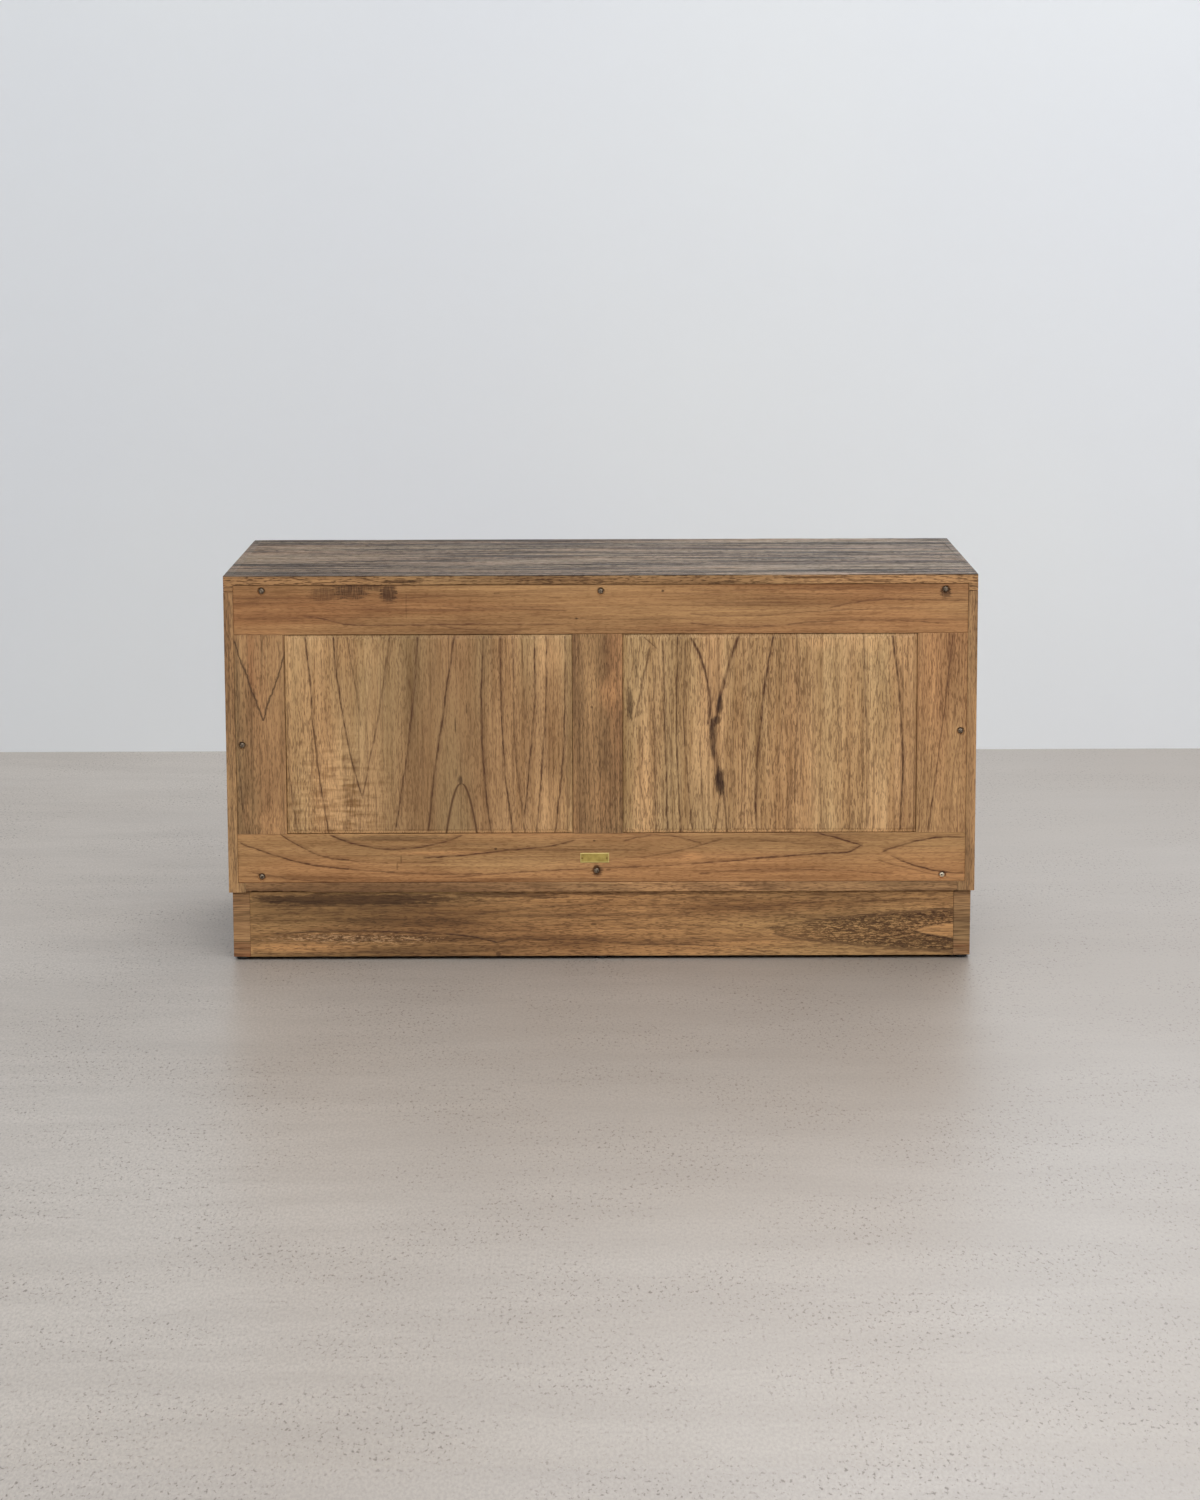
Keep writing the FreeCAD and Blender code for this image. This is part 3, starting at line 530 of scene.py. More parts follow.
def board_finish(name, turn, colours, seed, marks=None, extra=None, gloss=0.3, bump=0.25, **settings):
    """A board's own material: the wood group with its settings, its marks and what is special."""
    material, sockets, where = new_finish("wood_of_" + name)
    turned = {"Vector": where, "Rotation": tuple(radians(angle) for angle in TURNS[turn])}
    place = Wire(add(material.node_tree, "ShaderNodeMapping", turned).outputs[0])
    inputs = {"Place": place, "Seed": float(seed)}
    inputs.update(zip(("Pale", "Warm", "Dark"), (paint(*colour) for colour in colours)))
    for label, value in settings.items():
        inputs[label.capitalize().replace("_", " ")] = value
    for label, listed in (marks or {}).items():
        inputs[label] = MAKERS[label](place, turn, listed)
    if extra:
        inputs.update(extra(place, inputs))
    grain = use(wood, inputs)
    feed(sockets["Base Color"], grain["Colour"])
    feed(sockets["Roughness"], grain["Roughness"])
    bumped(sockets, grain["Height"], bump, 0.0006)
    sockets["Specular IOR Level"].default_value = gloss
    FINISHES[name] = material


PALE_BOARD = ((206, 163, 114), (150, 110, 68), (84, 52, 31))
RED_BOARD = ((192, 140, 91), (142, 96, 57), (84, 48, 28))
EDGE_BOARD = ((186, 142, 96), (130, 93, 59), (70, 45, 28))
INNER_BOARD = ((196, 160, 116), (170, 132, 90), (110, 80, 54))
print("turns", list(TURNS))

# %% [markdown]
# The panel on the left of the picture is the cabinet's right one. It has nested V lines on its
# left, an arch low in the middle with a few dark strokes above it, close straight lines on its
# right, and curly grain in the lower left, where it looks striped across.

# %% The right panel
lines = [
    (306, 636, 316, 748, 326, 830, 0.8, 1.6), (334, 636, 346, 735, 361, 795, 0.85, 1.7),
    (348, 636, 356, 690, 360, 722, 0.6, 1.3), (389, 636, 375, 730, 361, 793, 0.7, 1.6),
    (418, 636, 404, 769, 394, 824, 0.85, 1.8), (454, 636, 441, 720, 426, 828, 0.9, 1.9),
    (484, 636, 481, 697, 490, 830, 0.95, 1.9), (500, 636, 503, 748, 511, 830, 0.9, 1.7),
    (512, 636, 516, 759, 523, 830, 0.7, 1.5), (534, 636, 533, 715, 522, 815, 0.95, 1.8),
    (546, 636, 542, 759, 535, 830, 0.85, 1.6), (564, 636, 565, 677, 554, 830, 0.85, 1.6),
    (288, 700, 288, 765, 295, 830, 0.6, 1.5), (320, 650, 326, 720, 338, 800, 0.3, 1.3),
    (370, 650, 366, 720, 362, 780, 0.3, 1.2), (436, 640, 424, 730, 410, 828, 0.25, 1.3),
    (468, 700, 470, 730, 466, 760, 0.3, 1.4), (493, 640, 492, 730, 500, 828, 0.25, 1.2),
    (522, 640, 524, 730, 528, 800, 0.35, 1.2), (355, 760, 350, 795, 343, 829, 0.35, 1.3),
]
strokes = [
    (454.7, 723, 0.012, 0.0013, 0.9), (466, 706, 0.008, 0.0011, 0.7), (447, 748, 0.008, 0.0011, 0.6),
    (459, 778, 0.007, 0.004, 0.7), (455, 770, 0.006, 0.0013, 0.6),
]
# The thin upright shade along the muntin is painted shadow in the gap; the others darken the wood's tone.
shade = [
    (440, 750, 0.34, 0.13, 0.8), (466, 720, 0.06, 0.02, 0.7), (568, 735, 0.16, 0.006, 0.5),
    (460, 800, 0.03, 0.02, 0.2), (530, 740, 0.18, 0.06, 0.4),
]
# The thin strips along its lower edge and along the stile are painted highlight where the bevel catches
# light; the others lighten the wood's tone.
light = [
    (310, 750, 0.17, 0.05, 0.3), (345, 650, 0.03, 0.08, 0.2), (545, 656, 0.03, 0.03, 0.25),
    (565, 829, 0.004, 0.16, 0.3), (552, 800, 0.05, 0.03, 0.35), (289, 740, 0.2, 0.006, 0.45),
    (430, 829.7, 0.002, 0.4, 0.5),
]


def low_arch(place, made):
    """The arch over the lower edge."""
    along, _, aside = split(place)
    arch = arch_at("upright", (460, 781), along, aside, -0.082, 0.5, 0.003, 1.0, made["Lines"])
    return {"Lines": arch["Mask"]}


board_finish("back_right_panel", "upright", PALE_BOARD, 11, {
    "Lines": lines, "Shade": shade, "Light": light, "Stain": strokes, "Curl": [(338, 795, 0.11, 0.09, 4.0)],
}, low_arch, rings=0.1)
print("right panel", len(lines), "lines")

# %% [markdown]
# The other panel has close lines on its left, a fork that runs down into a dark streak, and wide
# rings on its right. All of it can be written in lists.

# %% The left panel
lines = [
    (648, 648, 639, 690, 634, 715, 0.7, 1.8), (652, 664, 653, 740, 655, 830, 0.7, 1.5),
    (662, 640, 664, 735, 667, 830, 0.85, 1.7), (677, 636, 676, 735, 680, 830, 0.85, 1.6),
    (685, 640, 684, 735, 692, 830, 0.75, 1.5), (671, 640, 669, 735, 673, 830, 0.4, 1.2),
    (691, 638, 704, 668, 708, 722, 1.0, 2.6), (737, 636, 724, 678, 714, 724, 1.0, 3.0),
    (710, 718, 714, 755, 720, 792, 0.85, 4.0), (720, 780, 717, 805, 714, 830, 0.7, 2.0),
    (721, 780, 724, 805, 726, 830, 0.85, 2.0), (772, 636, 760, 715, 757, 830, 0.95, 2.0),
    (799, 657, 796, 725, 794, 800, 0.55, 1.5), (790, 660, 780, 730, 776, 800, 0.35, 1.3),
    (833, 663, 836, 700, 838, 760, 0.45, 1.4), (812, 700, 812, 740, 811, 820, 0.35, 1.3),
    (862, 636, 865, 728, 866, 825, 0.55, 1.8), (891, 636, 899, 705, 900, 828, 0.9, 2.0),
    (847, 650, 846, 730, 850, 820, 0.35, 1.3), (747, 650, 742, 735, 741, 830, 0.3, 1.2),
    (875, 650, 877, 735, 879, 825, 0.3, 1.3), (822, 680, 824, 750, 822, 825, 0.25, 1.2),
    (699, 730, 700, 780, 704, 830, 0.5, 1.4), (643, 636, 649, 641, 655, 646, 0.7, 2.0),
    (905, 640, 909, 735, 908, 830, 0.3, 1.4), (733, 700, 731, 760, 733, 828, 0.35, 1.3),
]
spots = [
    (629, 703, 0.026, 0.005, 0.9), (719, 780, 0.024, 0.008, 1.0), (712, 735, 0.034, 0.006, 0.8),
    (719, 704, 0.016, 0.005, 0.9), (716, 718, 0.008, 0.008, 0.9), (635, 668, 0.03, 0.003, 0.5),
]
# The thin upright shades along the stile, and the spot in the lower corner beside it, are painted shadow in
# the gap; the others darken the wood's tone.
shade = [
    (908, 740, 0.3, 0.012, 0.15), (714, 676, 0.07, 0.013, 0.3), (660, 735, 0.16, 0.02, 0.12),
    (800, 690, 0.08, 0.04, 0.15), (914, 740, 0.3, 0.004, 0.7), (700, 800, 0.06, 0.012, 0.3),
    (912, 828, 0.006, 0.01, 0.9),
]
# The thin strips along its lower edge are painted highlight where the bevel catches light; the others lighten
# the wood's tone.
light = [
    (850, 760, 0.14, 0.08, 0.22), (642, 800, 0.09, 0.02, 0.4), (820, 642, 0.012, 0.03, 0.35),
    (870, 642, 0.02, 0.03, 0.2), (640, 829, 0.006, 0.03, 0.5), (770, 829.7, 0.002, 0.4, 0.45),
    (895, 660, 0.05, 0.02, 0.2),
]
board_finish("back_left_panel", "upright", ((220, 175, 124), (164, 122, 78), PALE_BOARD[2]), 23,
             {"Lines": lines, "Stain": spots, "Shade": shade, "Light": light}, rings=0.1)
print("left panel", len(lines), "lines")

# %% [markdown]
# The upper rail has long thin lines and, at its upper left, dirt that someone brushed at: it shows
# fine strokes from top to bottom. So its stain is multiplied by noise that is narrow along the
# board. A thin line of painted shadow lies under the case's edge, at the joint, and another along
# the rail's lower edge, where the panels meet it.

# %% The upper rail
lines = [
    (306, 615, 328, 618, 345, 623, 0.7, 1.3), (344, 623, 410, 623.5, 480, 621.5, 0.75, 1.4),
    (479, 621.5, 525, 623, 571, 622, 0.6, 1.2), (444, 605, 500, 607, 565, 609, 0.5, 1.1),
    (440, 624, 470, 627.5, 520, 630, 0.5, 1.2), (691, 613, 745, 615.5, 800, 611.5, 0.55, 1.2),
    (800, 611.5, 860, 609, 910, 607, 0.45, 1.2), (691, 622, 745, 626, 800, 622.5, 0.65, 1.3),
    (800, 622, 870, 620, 945, 623, 0.65, 1.2), (830, 607, 866, 600, 900, 599, 0.6, 1.3),
    (898, 599, 930, 599, 963, 599.5, 0.6, 1.2), (690, 589, 770, 590, 935, 587, 0.4, 1.0),
    (240, 603, 300, 601, 390, 606, 0.35, 1.1), (390, 597, 470, 594, 560, 596, 0.4, 1.0),
    (560, 616, 630, 618, 700, 617, 0.4, 1.0), (570, 628, 640, 629, 720, 630, 0.45, 1.1),
    (236, 632, 265, 632, 300, 633.5, 0.6, 1.2), (640, 603, 730, 605, 840, 604, 0.35, 1.0),
]
spots = [
    (325, 592, 0.022, 0.012, 0.55), (352, 590, 0.028, 0.013, 0.8), (389, 592, 0.013, 0.017, 1.0),
    (372, 586, 0.03, 0.006, 0.6), (407, 604, 0.0012, 0.022, 0.35), (943, 592, 0.009, 0.011, 0.8),
    (576, 617, 0.003, 0.0022, 0.9), (662, 590, 0.0022, 0.0018, 0.9), (497, 592, 0.005, 0.002, 0.4),
]
# The two long thin shades along the upper and lower edges are painted shadow at the joints; the others darken
# the wood's tone.
shade = [
    (270, 610, 0.06, 0.03, 0.25), (650, 620, 0.05, 0.008, 0.35), (450, 630, 0.14, 0.006, 0.4),
    (500, 634, 0.35, 0.003, 0.4), (600, 583.6, 0.9, 0.0014, 1.0),
]
light = [(880, 606, 0.1, 0.03, 0.12), (450, 605, 0.1, 0.02, 0.12), (262, 630, 0.05, 0.004, 0.35)]


def brushed_dirt(place, made):
    """The dirt, with fine strokes across the grain."""
    strokes = step(cloud(place, (760.0, 50.0, 50.0)), 0.36, 0.58, 0.65, 1.25)
    return {"Stain": smudges_at(place, "level", spots, ragged=0.75) * strokes}


board_finish("back_top_rail", "level", RED_BOARD, 5, {"Lines": lines, "Shade": shade, "Light": light},
             brushed_dirt, heart_across=0.66, heart_depth=-0.2, taper=0.03, ring_width=0.012, rings=0.2,
             pores=0.35)
print("upper rail", len(lines), "lines")

# %% [markdown]
# The lower rail has arcs that hang from the panel on the left and two pointed figures on the
# right. Round the middle screw the wood is darker, and a thin line of painted shadow runs along
# the rail's lower edge.

# %% The lower rail
lines = [
    (239, 841, 282, 856, 346, 866, 0.94, 1.6), (346, 866, 400, 871, 480, 872, 0.62, 1.4),
    (279, 832, 300, 845, 346, 857, 0.88, 1.5), (346, 857, 390, 861, 440, 860, 0.44, 1.4),
    (329, 833, 385, 847, 459, 834, 0.94, 1.6), (423, 856, 465, 853, 504, 848, 0.88, 1.5),
    (504, 848, 548, 843.5, 572, 839, 0.81, 1.5), (444, 876, 504, 871.5, 569, 868, 0.62, 1.3),
    (569, 868, 630, 866, 700, 861, 0.62, 1.3), (812, 830, 837, 837, 861, 845, 1.0, 1.6),
    (861, 845, 852, 850, 832, 852, 1.0, 1.6), (834, 852, 772, 856, 691, 862, 0.94, 1.5),
    (884, 850, 913, 841, 964, 837, 0.94, 1.5), (892, 855, 905, 861, 963, 873, 0.94, 1.5),
    (624, 839, 660, 834, 700, 842, 0.62, 1.4), (640, 856, 690, 846, 720, 838, 0.5, 1.4),
    (700, 872, 800, 868, 890, 874, 0.56, 1.3), (760, 838, 800, 842, 840, 845, 0.5, 1.3),
    (880, 860, 910, 868, 960, 880, 0.44, 1.3), (250, 870, 300, 878, 380, 881, 0.5, 1.3),
]
spots = [
    (596.5, 869.5, 0.0095, 0.0085, 0.85), (607, 868.5, 0.004, 0.0012, 0.6), (390, 836, 0.085, 0.005, 0.55),
    (593, 839, 0.0025, 0.002, 0.9), (494, 847, 0.0025, 0.002, 0.9), (399, 857, 0.0015, 0.007, 0.5),
    (395, 864, 0.0018, 0.006, 0.5), (389, 870, 0.008, 0.0015, 0.6),
]
# The long thin shade along the lower edge is painted shadow at the joint with the bottom board; the others
# darken the wood's tone.
shade = [
    (350, 845, 0.1, 0.012, 0.2), (738, 840, 0.06, 0.012, 0.35), (600, 835, 0.05, 0.005, 0.2),
    (600, 880.6, 0.9, 0.0014, 1.0),
]
light = [
    (440, 851, 0.09, 0.004, 0.45), (690, 855, 0.02, 0.008, 0.5), (900, 866, 0.12, 0.03, 0.25),
    (760, 870, 0.1, 0.01, 0.15),
]
board_finish("back_bottom_rail", "level", ((200, 148, 97), (148, 102, 61), RED_BOARD[2]), 8,
             {"Lines": lines, "Stain": spots, "Shade": shade, "Light": light}, rings=0.0, pores=0.35)
print("lower rail", len(lines), "lines")

# %% [markdown]
# Three uprights hold the panels. One stile has a V with redder wood inside it, the other a single
# slanted line, and the muntin between the panels is smooth and dark above with fine lines below.
# Thin lines of painted shadow run down their edges, where they meet the panels and the side.

# %% The uprights
def v_figure(place, made):
    """A V that points down, and the redder wood inside it."""
    along, _, aside = split(place)
    wobble = cloud(place, (60.0, 60.0, 60.0), 3.0, 0.6) - 0.5
    across = wobble.times(0.009, aside)
    figure = arch_at("upright", (262.5, 718), along, across, 0.34, 1.0, 0.0026, 0.9, made["Lines"])
    red = blend(figure["Inside"] * 0.6, paint(*EDGE_BOARD[1]), paint(164, 108, 68))
    return {"Lines": figure["Mask"], "Warm": red}


board_finish("back_right_stile", "upright", EDGE_BOARD, 31, {
    # The first line runs down the joint with the side's edge: it is painted shadow, as is the thin shade
    # along the panel.
    "Lines": [(237, 755, 240, 800, 244, 830, 0.6, 1.4), (279, 640, 277, 680, 271, 696, 0.4, 1.2)],
    "Shade": [(281, 740, 0.14, 0.006, 0.5)],
    "Light": [(268, 820, 0.03, 0.03, 0.5), (245, 812, 0.03, 0.008, 0.4)],
}, v_figure, rings=0.15)

starts = ((578, 640), (582, 700), (587, 720), (592, 706), (598, 730), (603, 720), (608, 740), (613, 728),
          (618, 710))
board_finish("back_centre_muntin", "upright", ((196, 146, 98), (138, 98, 62), EDGE_BOARD[2]), 37, {
    "Lines": [(x, top, x + 1, 760, x + 2, 830, 0.5, 1.2) for x, top in starts],
    "Stain": [(591, 705, 0.0025, 0.002, 0.8)],
    # The thin shades down its two edges are painted shadow at the joints with the panels; the one near the
    # top darkens the wood's tone.
    "Shade": [(579, 735, 0.17, 0.006, 0.3), (597, 648, 0.04, 0.04, 0.25), (620, 780, 0.1, 0.004, 0.3)],
    "Light": [(609, 692, 0.03, 0.02, 0.45), (600, 800, 0.05, 0.02, 0.2)],
    "Curl": [(612, 690, 0.04, 0.02, 1.6)],
}, rings=0.15, ring_width=0.01)

lines = [
    (951, 635, 943, 705, 928.6, 828, 0.75, 1.5), (935, 640, 932, 735, 926, 828, 0.35, 1.1),
    (923, 636, 921, 735, 919, 828, 0.35, 1.2), (960, 732, 954, 760, 950, 820, 0.4, 1.2),
    (958, 640, 953, 700, 947, 760, 0.3, 1.1),
]
# Its thin shade along the panel is painted shadow at the joint.
board_finish("back_left_stile", "upright", ((206, 154, 104), (152, 108, 68), RED_BOARD[2]), 41,
             {"Lines": lines, "Shade": [(918, 735, 0.17, 0.006, 0.35)]}, rings=0.2)
print("boards so far", len(FINISHES))

# %% [markdown]
# The plinth is the most worn board. Painted shadow darkens it just under its upper edge, where the
# case stands over it, and dirt lies lower down. Pale flecks show where it was chipped, a dark line
# dips past a knot, and on the right a black flame, full of specks, surrounds a bare tongue. The
# flame and the tongue are two arches, one inside the other.

# %% The plinth
lines = [
    (258, 904, 366, 905.5, 466, 904.5, 0.5, 1.4), (466, 904.5, 510, 900, 567, 896, 0.6, 1.4),
    (273, 932, 341, 930.5, 416, 932, 0.85, 1.6), (416, 932, 470, 937, 494, 942.5, 0.85, 1.6),
    (494, 942.5, 511, 939.5, 542, 939, 0.7, 1.4), (542, 939, 600, 940.5, 639, 945, 0.6, 1.3),
    (639, 945, 697, 946, 780, 953.5, 0.65, 1.3), (250, 953, 340, 952.5, 434, 953, 0.5, 1.2),
    (434, 953, 460, 954.5, 486, 957, 0.5, 1.2), (476, 914, 520, 909, 600, 903, 0.45, 1.6),
    (600, 921, 650, 916, 720, 914, 0.4, 1.3), (610, 930, 680, 925, 760, 934, 0.35, 1.3),
    (640, 905, 700, 909, 780, 905, 0.35, 1.2), (780, 904, 860, 901, 950, 903, 0.4, 1.2),
]
# The first three, along the upper edge, are painted shadow under the case; the rest are dirt.
dirt_and_shadow = [
    (350, 898, 0.19, 0.01, 1.0), (500, 894, 0.1, 0.005, 0.8), (620, 893, 0.16, 0.002, 0.7),
    (400, 921, 0.13, 0.009, 0.45), (496, 954, 0.004, 0.004, 0.8), (741, 925, 0.003, 0.003, 0.6),
    (400, 938, 0.16, 0.006, 0.55), (592, 924, 0.005, 0.0025, 0.6),
]
shade = [(390, 910, 0.28, 0.030, 1.0), (440, 922, 0.14, 0.02, 0.9), (860, 930, 0.14, 0.025, 0.3),
         (480, 948, 0.10, 0.008, 0.4)]


def flame_and_flecks(place, made):
    """The speckled flame with its bare tongue, and the pale flecks."""
    along, _, aside = split(place)
    ragged = cloud(place, (40.0, 90.0, 200.0), 3.0, 0.7) - 0.5
    flame = arch_at("level", (772, 931), ragged.times(0.06, along), ragged.times(0.016, aside),
                    -0.062, 0.5, 0.004, 0.7)
    tongue = arch_at("level", (916, 931), along, aside, -0.055, 0.5, 0.0014, 0.8)
    bare = 1.0 - tongue["Inside"]
    speck = step(cloud(place, (130.0, 200.0, 560.0), 3.0, 0.75), 0.42, 0.54)
    dense = step(along, seen_x(775), seen_x(880), 0.6, 1.3)
    stain = calc("MAXIMUM", made["Stain"], flame["Inside"] * speck * dense * bare)
    mask = calc("MAXIMUM", calc("MAXIMUM", made["Lines"], flame["Mask"]) * bare, tongue["Mask"])
    flecks = step(cloud(place, (150.0, 200.0, 700.0), 2.0, 0.7), 0.49, 0.56)
    chipped = smudges_at(place, "level", [(352, 938, 0.13, 0.0085, 0.8)], ragged=0.8) * flecks
    light = spots_at(place, "level", [(295, 947, 0.11, 0.010, 0.6), (640, 930, 0.16, 0.012, 0.25)], chipped)
    return {"Lines": mask, "Stain": stain * (1.0 - chipped),
            "Light": calc("MAXIMUM", light, tongue["Inside"] * 0.25),
            "Pale": blend(chipped, paint(204, 152, 98), paint(192, 158, 118))}


board_finish("plinth_back", "level", ((206, 153, 98), (138, 97, 58), EDGE_BOARD[2]), 61,
             {"Lines": lines, "Stain": dirt_and_shadow, "Shade": shade}, flame_and_flecks,
             rings=0.25, ring_width=0.014, heart_across=0.2, taper=0.06)
print("plinth", len(lines), "lines")

# %% [markdown]
# The plinth's sides end at the back, where they show end grain. Their pattern is pressed flat
# along the board, which turns its streaks into long upright ones, and they are redder low down.
# A band of painted shadow lies along their tops, under the case.

# %% The plinth's sides
def end_grain(place, made):
    """Long streaks on the sawn ends, redder below."""
    low = step(split(place)[2], seen_z(938), seen_z(946))
    return {"Place": vector("MULTIPLY", place, (1.0, 0.04, 1.0)),
            "Warm": blend(low, paint(*EDGE_BOARD[1]), paint(134, 84, 50))}


# The shade at the top of each side is painted shadow under the case.
for name, seed, heart in (("plinth_left", 67, 0.12), ("plinth_right", 71, -0.05)):
    board_finish(name, "deep", EDGE_BOARD, seed, {"Shade": [(0, 896, 0.5, 0.012, 0.35)]}, end_grain,
                 rings=0.4, heart_across=heart)
print("boards so far", len(FINISHES))

# %% [markdown]
# The top board is grey and weathered above but still warm at its edges. One mask tells the upper
# face from the edges, and mixes the three wood colours, the streaks and the light between them.
# The edges are a little lighter all along, and painted light brightens them most towards -X.

# %% The top board
GREYS = ((143, 118, 95), (58, 44, 33), (30, 22, 18))


def weathered(place, made):
    """Grey above, warm at the edges and brightened by painted light towards -X, with two dark streaks at the
    back.
    """
    above = step(split(place)[1], 0.002 - cad_box[1][2], 0.001 - cad_box[1][2])
    edge = 1.0 - above
    colours = {label: blend(above, paint(*warm), paint(*grey))
               for label, warm, grey in zip(("Pale", "Warm", "Dark"), EDGE_BOARD, GREYS)}
    # The edges are a little lighter all along, and painted light brightens them most towards -X.
    lit = spots_at(place, "flat", [(935, 580, 0.12, 0.5, 0.5)], 0.2)
    return {**colours, "Streaks": above.times(2.8, 1.4), "Light": edge * lit, "Stain": made["Stain"] * edge}


board_finish("top_board", "flat", EDGE_BOARD, 3, {"Stain": [
    (402, 580, 0.034, 0.003, 0.9), (450, 584, 0.05, 0.002, 0.7), (810, 577, 0.06, 0.002, 0.9),
    (870, 580, 0.05, 0.002, 0.6), (560, 579, 0.07, 0.0015, 0.4)]}, weathered,
    rings=0.35, ring_width=0.03, streaks=4.2, pores=0.8, bump=0.6, gloss=0.2)
print("greys", GREYS)

# %% [markdown]
# The bottom board shows only its rear edge, grey and dirty on the left of the picture. Its patches
# lean, so their place is slid sideways by the height before the spots are read.

# %% The bottom board and the sides
def leaning_patches(place, made):
    """Slanted darker and lighter patches along the rear edge."""
    slide = 2.5
    slid = vector("ADD", place, join(split(place)[1] * slide))
    slid = vector("ADD", slid, (slide * seen_z(886), 0.0, 0.0))
    shade = [(370, 886, 0.26, 0.5, 0.85), (540, 886, 0.035, 0.5, 0.6), (905, 886, 0.02, 0.5, 0.2)]
    light = [(660, 886, 0.07, 0.5, 0.6), (830, 886, 0.10, 0.5, 0.3), (735, 886, 0.04, 0.5, 0.6)]
    return {"Shade": spots_at(slid, "flat", shade), "Light": spots_at(slid, "flat", light)}


board_finish("bottom_board", "flat", EDGE_BOARD, 47, None, leaning_patches, rings=0.5, ring_width=0.012)
board_finish("left_side", "side", EDGE_BOARD, 53, rings=0.7, ring_width=0.016, heart_across=-0.03,
             heart_depth=0.51, heart_along=0.1, taper=0.09)
board_finish("right_side", "side", EDGE_BOARD, 59, {
    # The first line, along the joint with the stile, is painted shadow.
    "Lines": [(236.4, 660, 235, 700, 236.5, 770, 0.7, 1.3), (231, 600, 230, 700, 233, 880, 0.5, 1.2)],
    "Light": [(233, 740, 0.5, 0.02, 0.3)],
}, rings=0.6, ring_width=0.016, heart_across=0.06, heart_depth=-0.52, heart_along=0.7, taper=0.09)
print("boards so far", len(FINISHES))

# %% [markdown]
# The front, the drawers and the inside aren't in the picture, so they follow rules: the kind of
# board gives the colours, and the name of a piece gives the way of its grain. Each board's heart
# is moved by a sine of its number, so that no two boards are cut alike and every run is the same.

# %% The other boards
KINDS = {
    "top_wood": ("flat", EDGE_BOARD), "case_wood": ("flat", EDGE_BOARD),
    "back_frame_wood": ("level", RED_BOARD), "back_panel_wood": ("upright", PALE_BOARD),
    "plinth_wood": ("level", EDGE_BOARD),
    "front_wood": ("level", RED_BOARD), "front_panel_wood": ("upright", PALE_BOARD),
    "inner_wood": ("level", INNER_BOARD),
}


def turn_of(name, slot):
    """Which way the grain of a node runs."""
    if name.endswith(("stile", "panel", "partition", "corner_blocks", "dowels")):
        return "upright"
    if "runners" in name or ("drawer" in name and name.endswith("side")):
        return "deep"
    if name.endswith("drawer_bottom"):
        return "flat"
    return KINDS[slot][0]


for number, (name, slot) in enumerate(sorted(SLOTS.items())):
    if slot in KINDS and name not in FINISHES:
        low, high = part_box(name)
        middle = (low + high) / 2
        turn = turn_of(name, slot)
        centre = {"upright": -middle.x, "flat": middle.y}.get(turn, middle.z)
        board_finish(name, turn, KINDS[slot][1], 70 + number, rings=0.85,
                     heart_across=centre + 0.12 * sin(number * 1.7), heart_along=0.3 * sin(number * 3.1),
                     heart_depth=0.05 + 0.04 * cos(number), taper=0.06 + 0.05 * sin(number * 2.4),
                     ring_width=0.011 + 0.003 * sin(number))
print("woods", len(FINISHES))

# %% [markdown]
# Brass, steel and plastic are small here, but they close the picture. Each gets a pattern of its
# own: the brass is cloudy, lighter and darker in patches, the steel is dull, the plastic is grained.

# %% Metals and plastics
def small_finish(name, light, dark, metallic, roughness, size):
    """A cloudy finish for a small part."""
    material, sockets, where = new_finish(name)
    cloudy = cloud(where, (size, size, size), 3.0, 0.6)
    fine = cloud(where, (size * 9, size * 9, size * 9))
    feed(sockets["Base Color"], blend(step(cloudy, 0.35, 0.65), paint(*light), paint(*dark)))
    feed(sockets["Roughness"], cloudy.times(0.3, roughness))
    bumped(sockets, fine, 0.2, 0.0002)
    sockets["Metallic"].default_value = metallic
    return material


small = {
    "brass": small_finish("aged_brass", (196, 168, 98), (140, 112, 58), 1.0, 0.3, 120.0),
    "screw_steel": small_finish("dull_screw_steel", (158, 142, 122), (88, 74, 62), 0.8, 0.38, 400.0),
    "strike_steel": small_finish("strike_steel", (190, 190, 188), (150, 150, 148), 1.0, 0.3, 200.0),
    "catch_plastic": small_finish("catch_plastic", (72, 48, 34), (54, 36, 26), 0.0, 0.5, 300.0),
    "glide_plastic": small_finish("glide_plastic", (30, 30, 30), (18, 18, 18), 0.0, 0.5, 300.0),
}
FINISHES["nameplate"] = small_finish("plate_brass", (190, 166, 90), (164, 142, 72), 0.6, 0.42, 60.0)
print("small finishes", list(small))

# %% [markdown]
# Two of them carry something more. The plate's rim is paler, so its colour follows the
# distance from the plate's edge. One screw, at the lower right of the picture, is newer and pale
# with a dark dot in its middle, so the steel is paler round that one place.

# %% The plate's rim and the newer screw
def painted_so_far(material):
    """The colour input of a material's shader, the colour it has now, and the place."""
    tree = material.node_tree
    socket = tree.nodes["Principled BSDF"].inputs["Base Color"]
    where = Wire(add(tree, "ShaderNodeTexCoord").outputs["Object"])
    return socket, Wire(socket.links[0].from_socket), where


socket, field, where = painted_so_far(FINISHES["nameplate"])
low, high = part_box("nameplate")
inward = {"Vector": where, "Location": -(low + high) / 2}
sides = split(Wire(near((where,), "ShaderNodeMapping", inward).outputs[0]))
reaches = [(high - low)[i] / 2 - abs(sides[i]) for i in (0, 2)]
feed(socket, blend(step(calc("MINIMUM", *reaches), 0.0020, 0.0012), field, paint(202, 180, 112)))

socket, dull, where = painted_so_far(small["screw_steel"])
far = length(vector("SUBTRACT", where, (seen_x(942.5), 0.26, seen_z(874.5))))
newer = blend(step(far, 0.0018, 0.0012), paint(226, 214, 190), paint(60, 50, 40))
feed(socket, blend(step(far, 0.012, 0.010), dull, newer))
print("plate", [round(n, 4) for n in high - low])

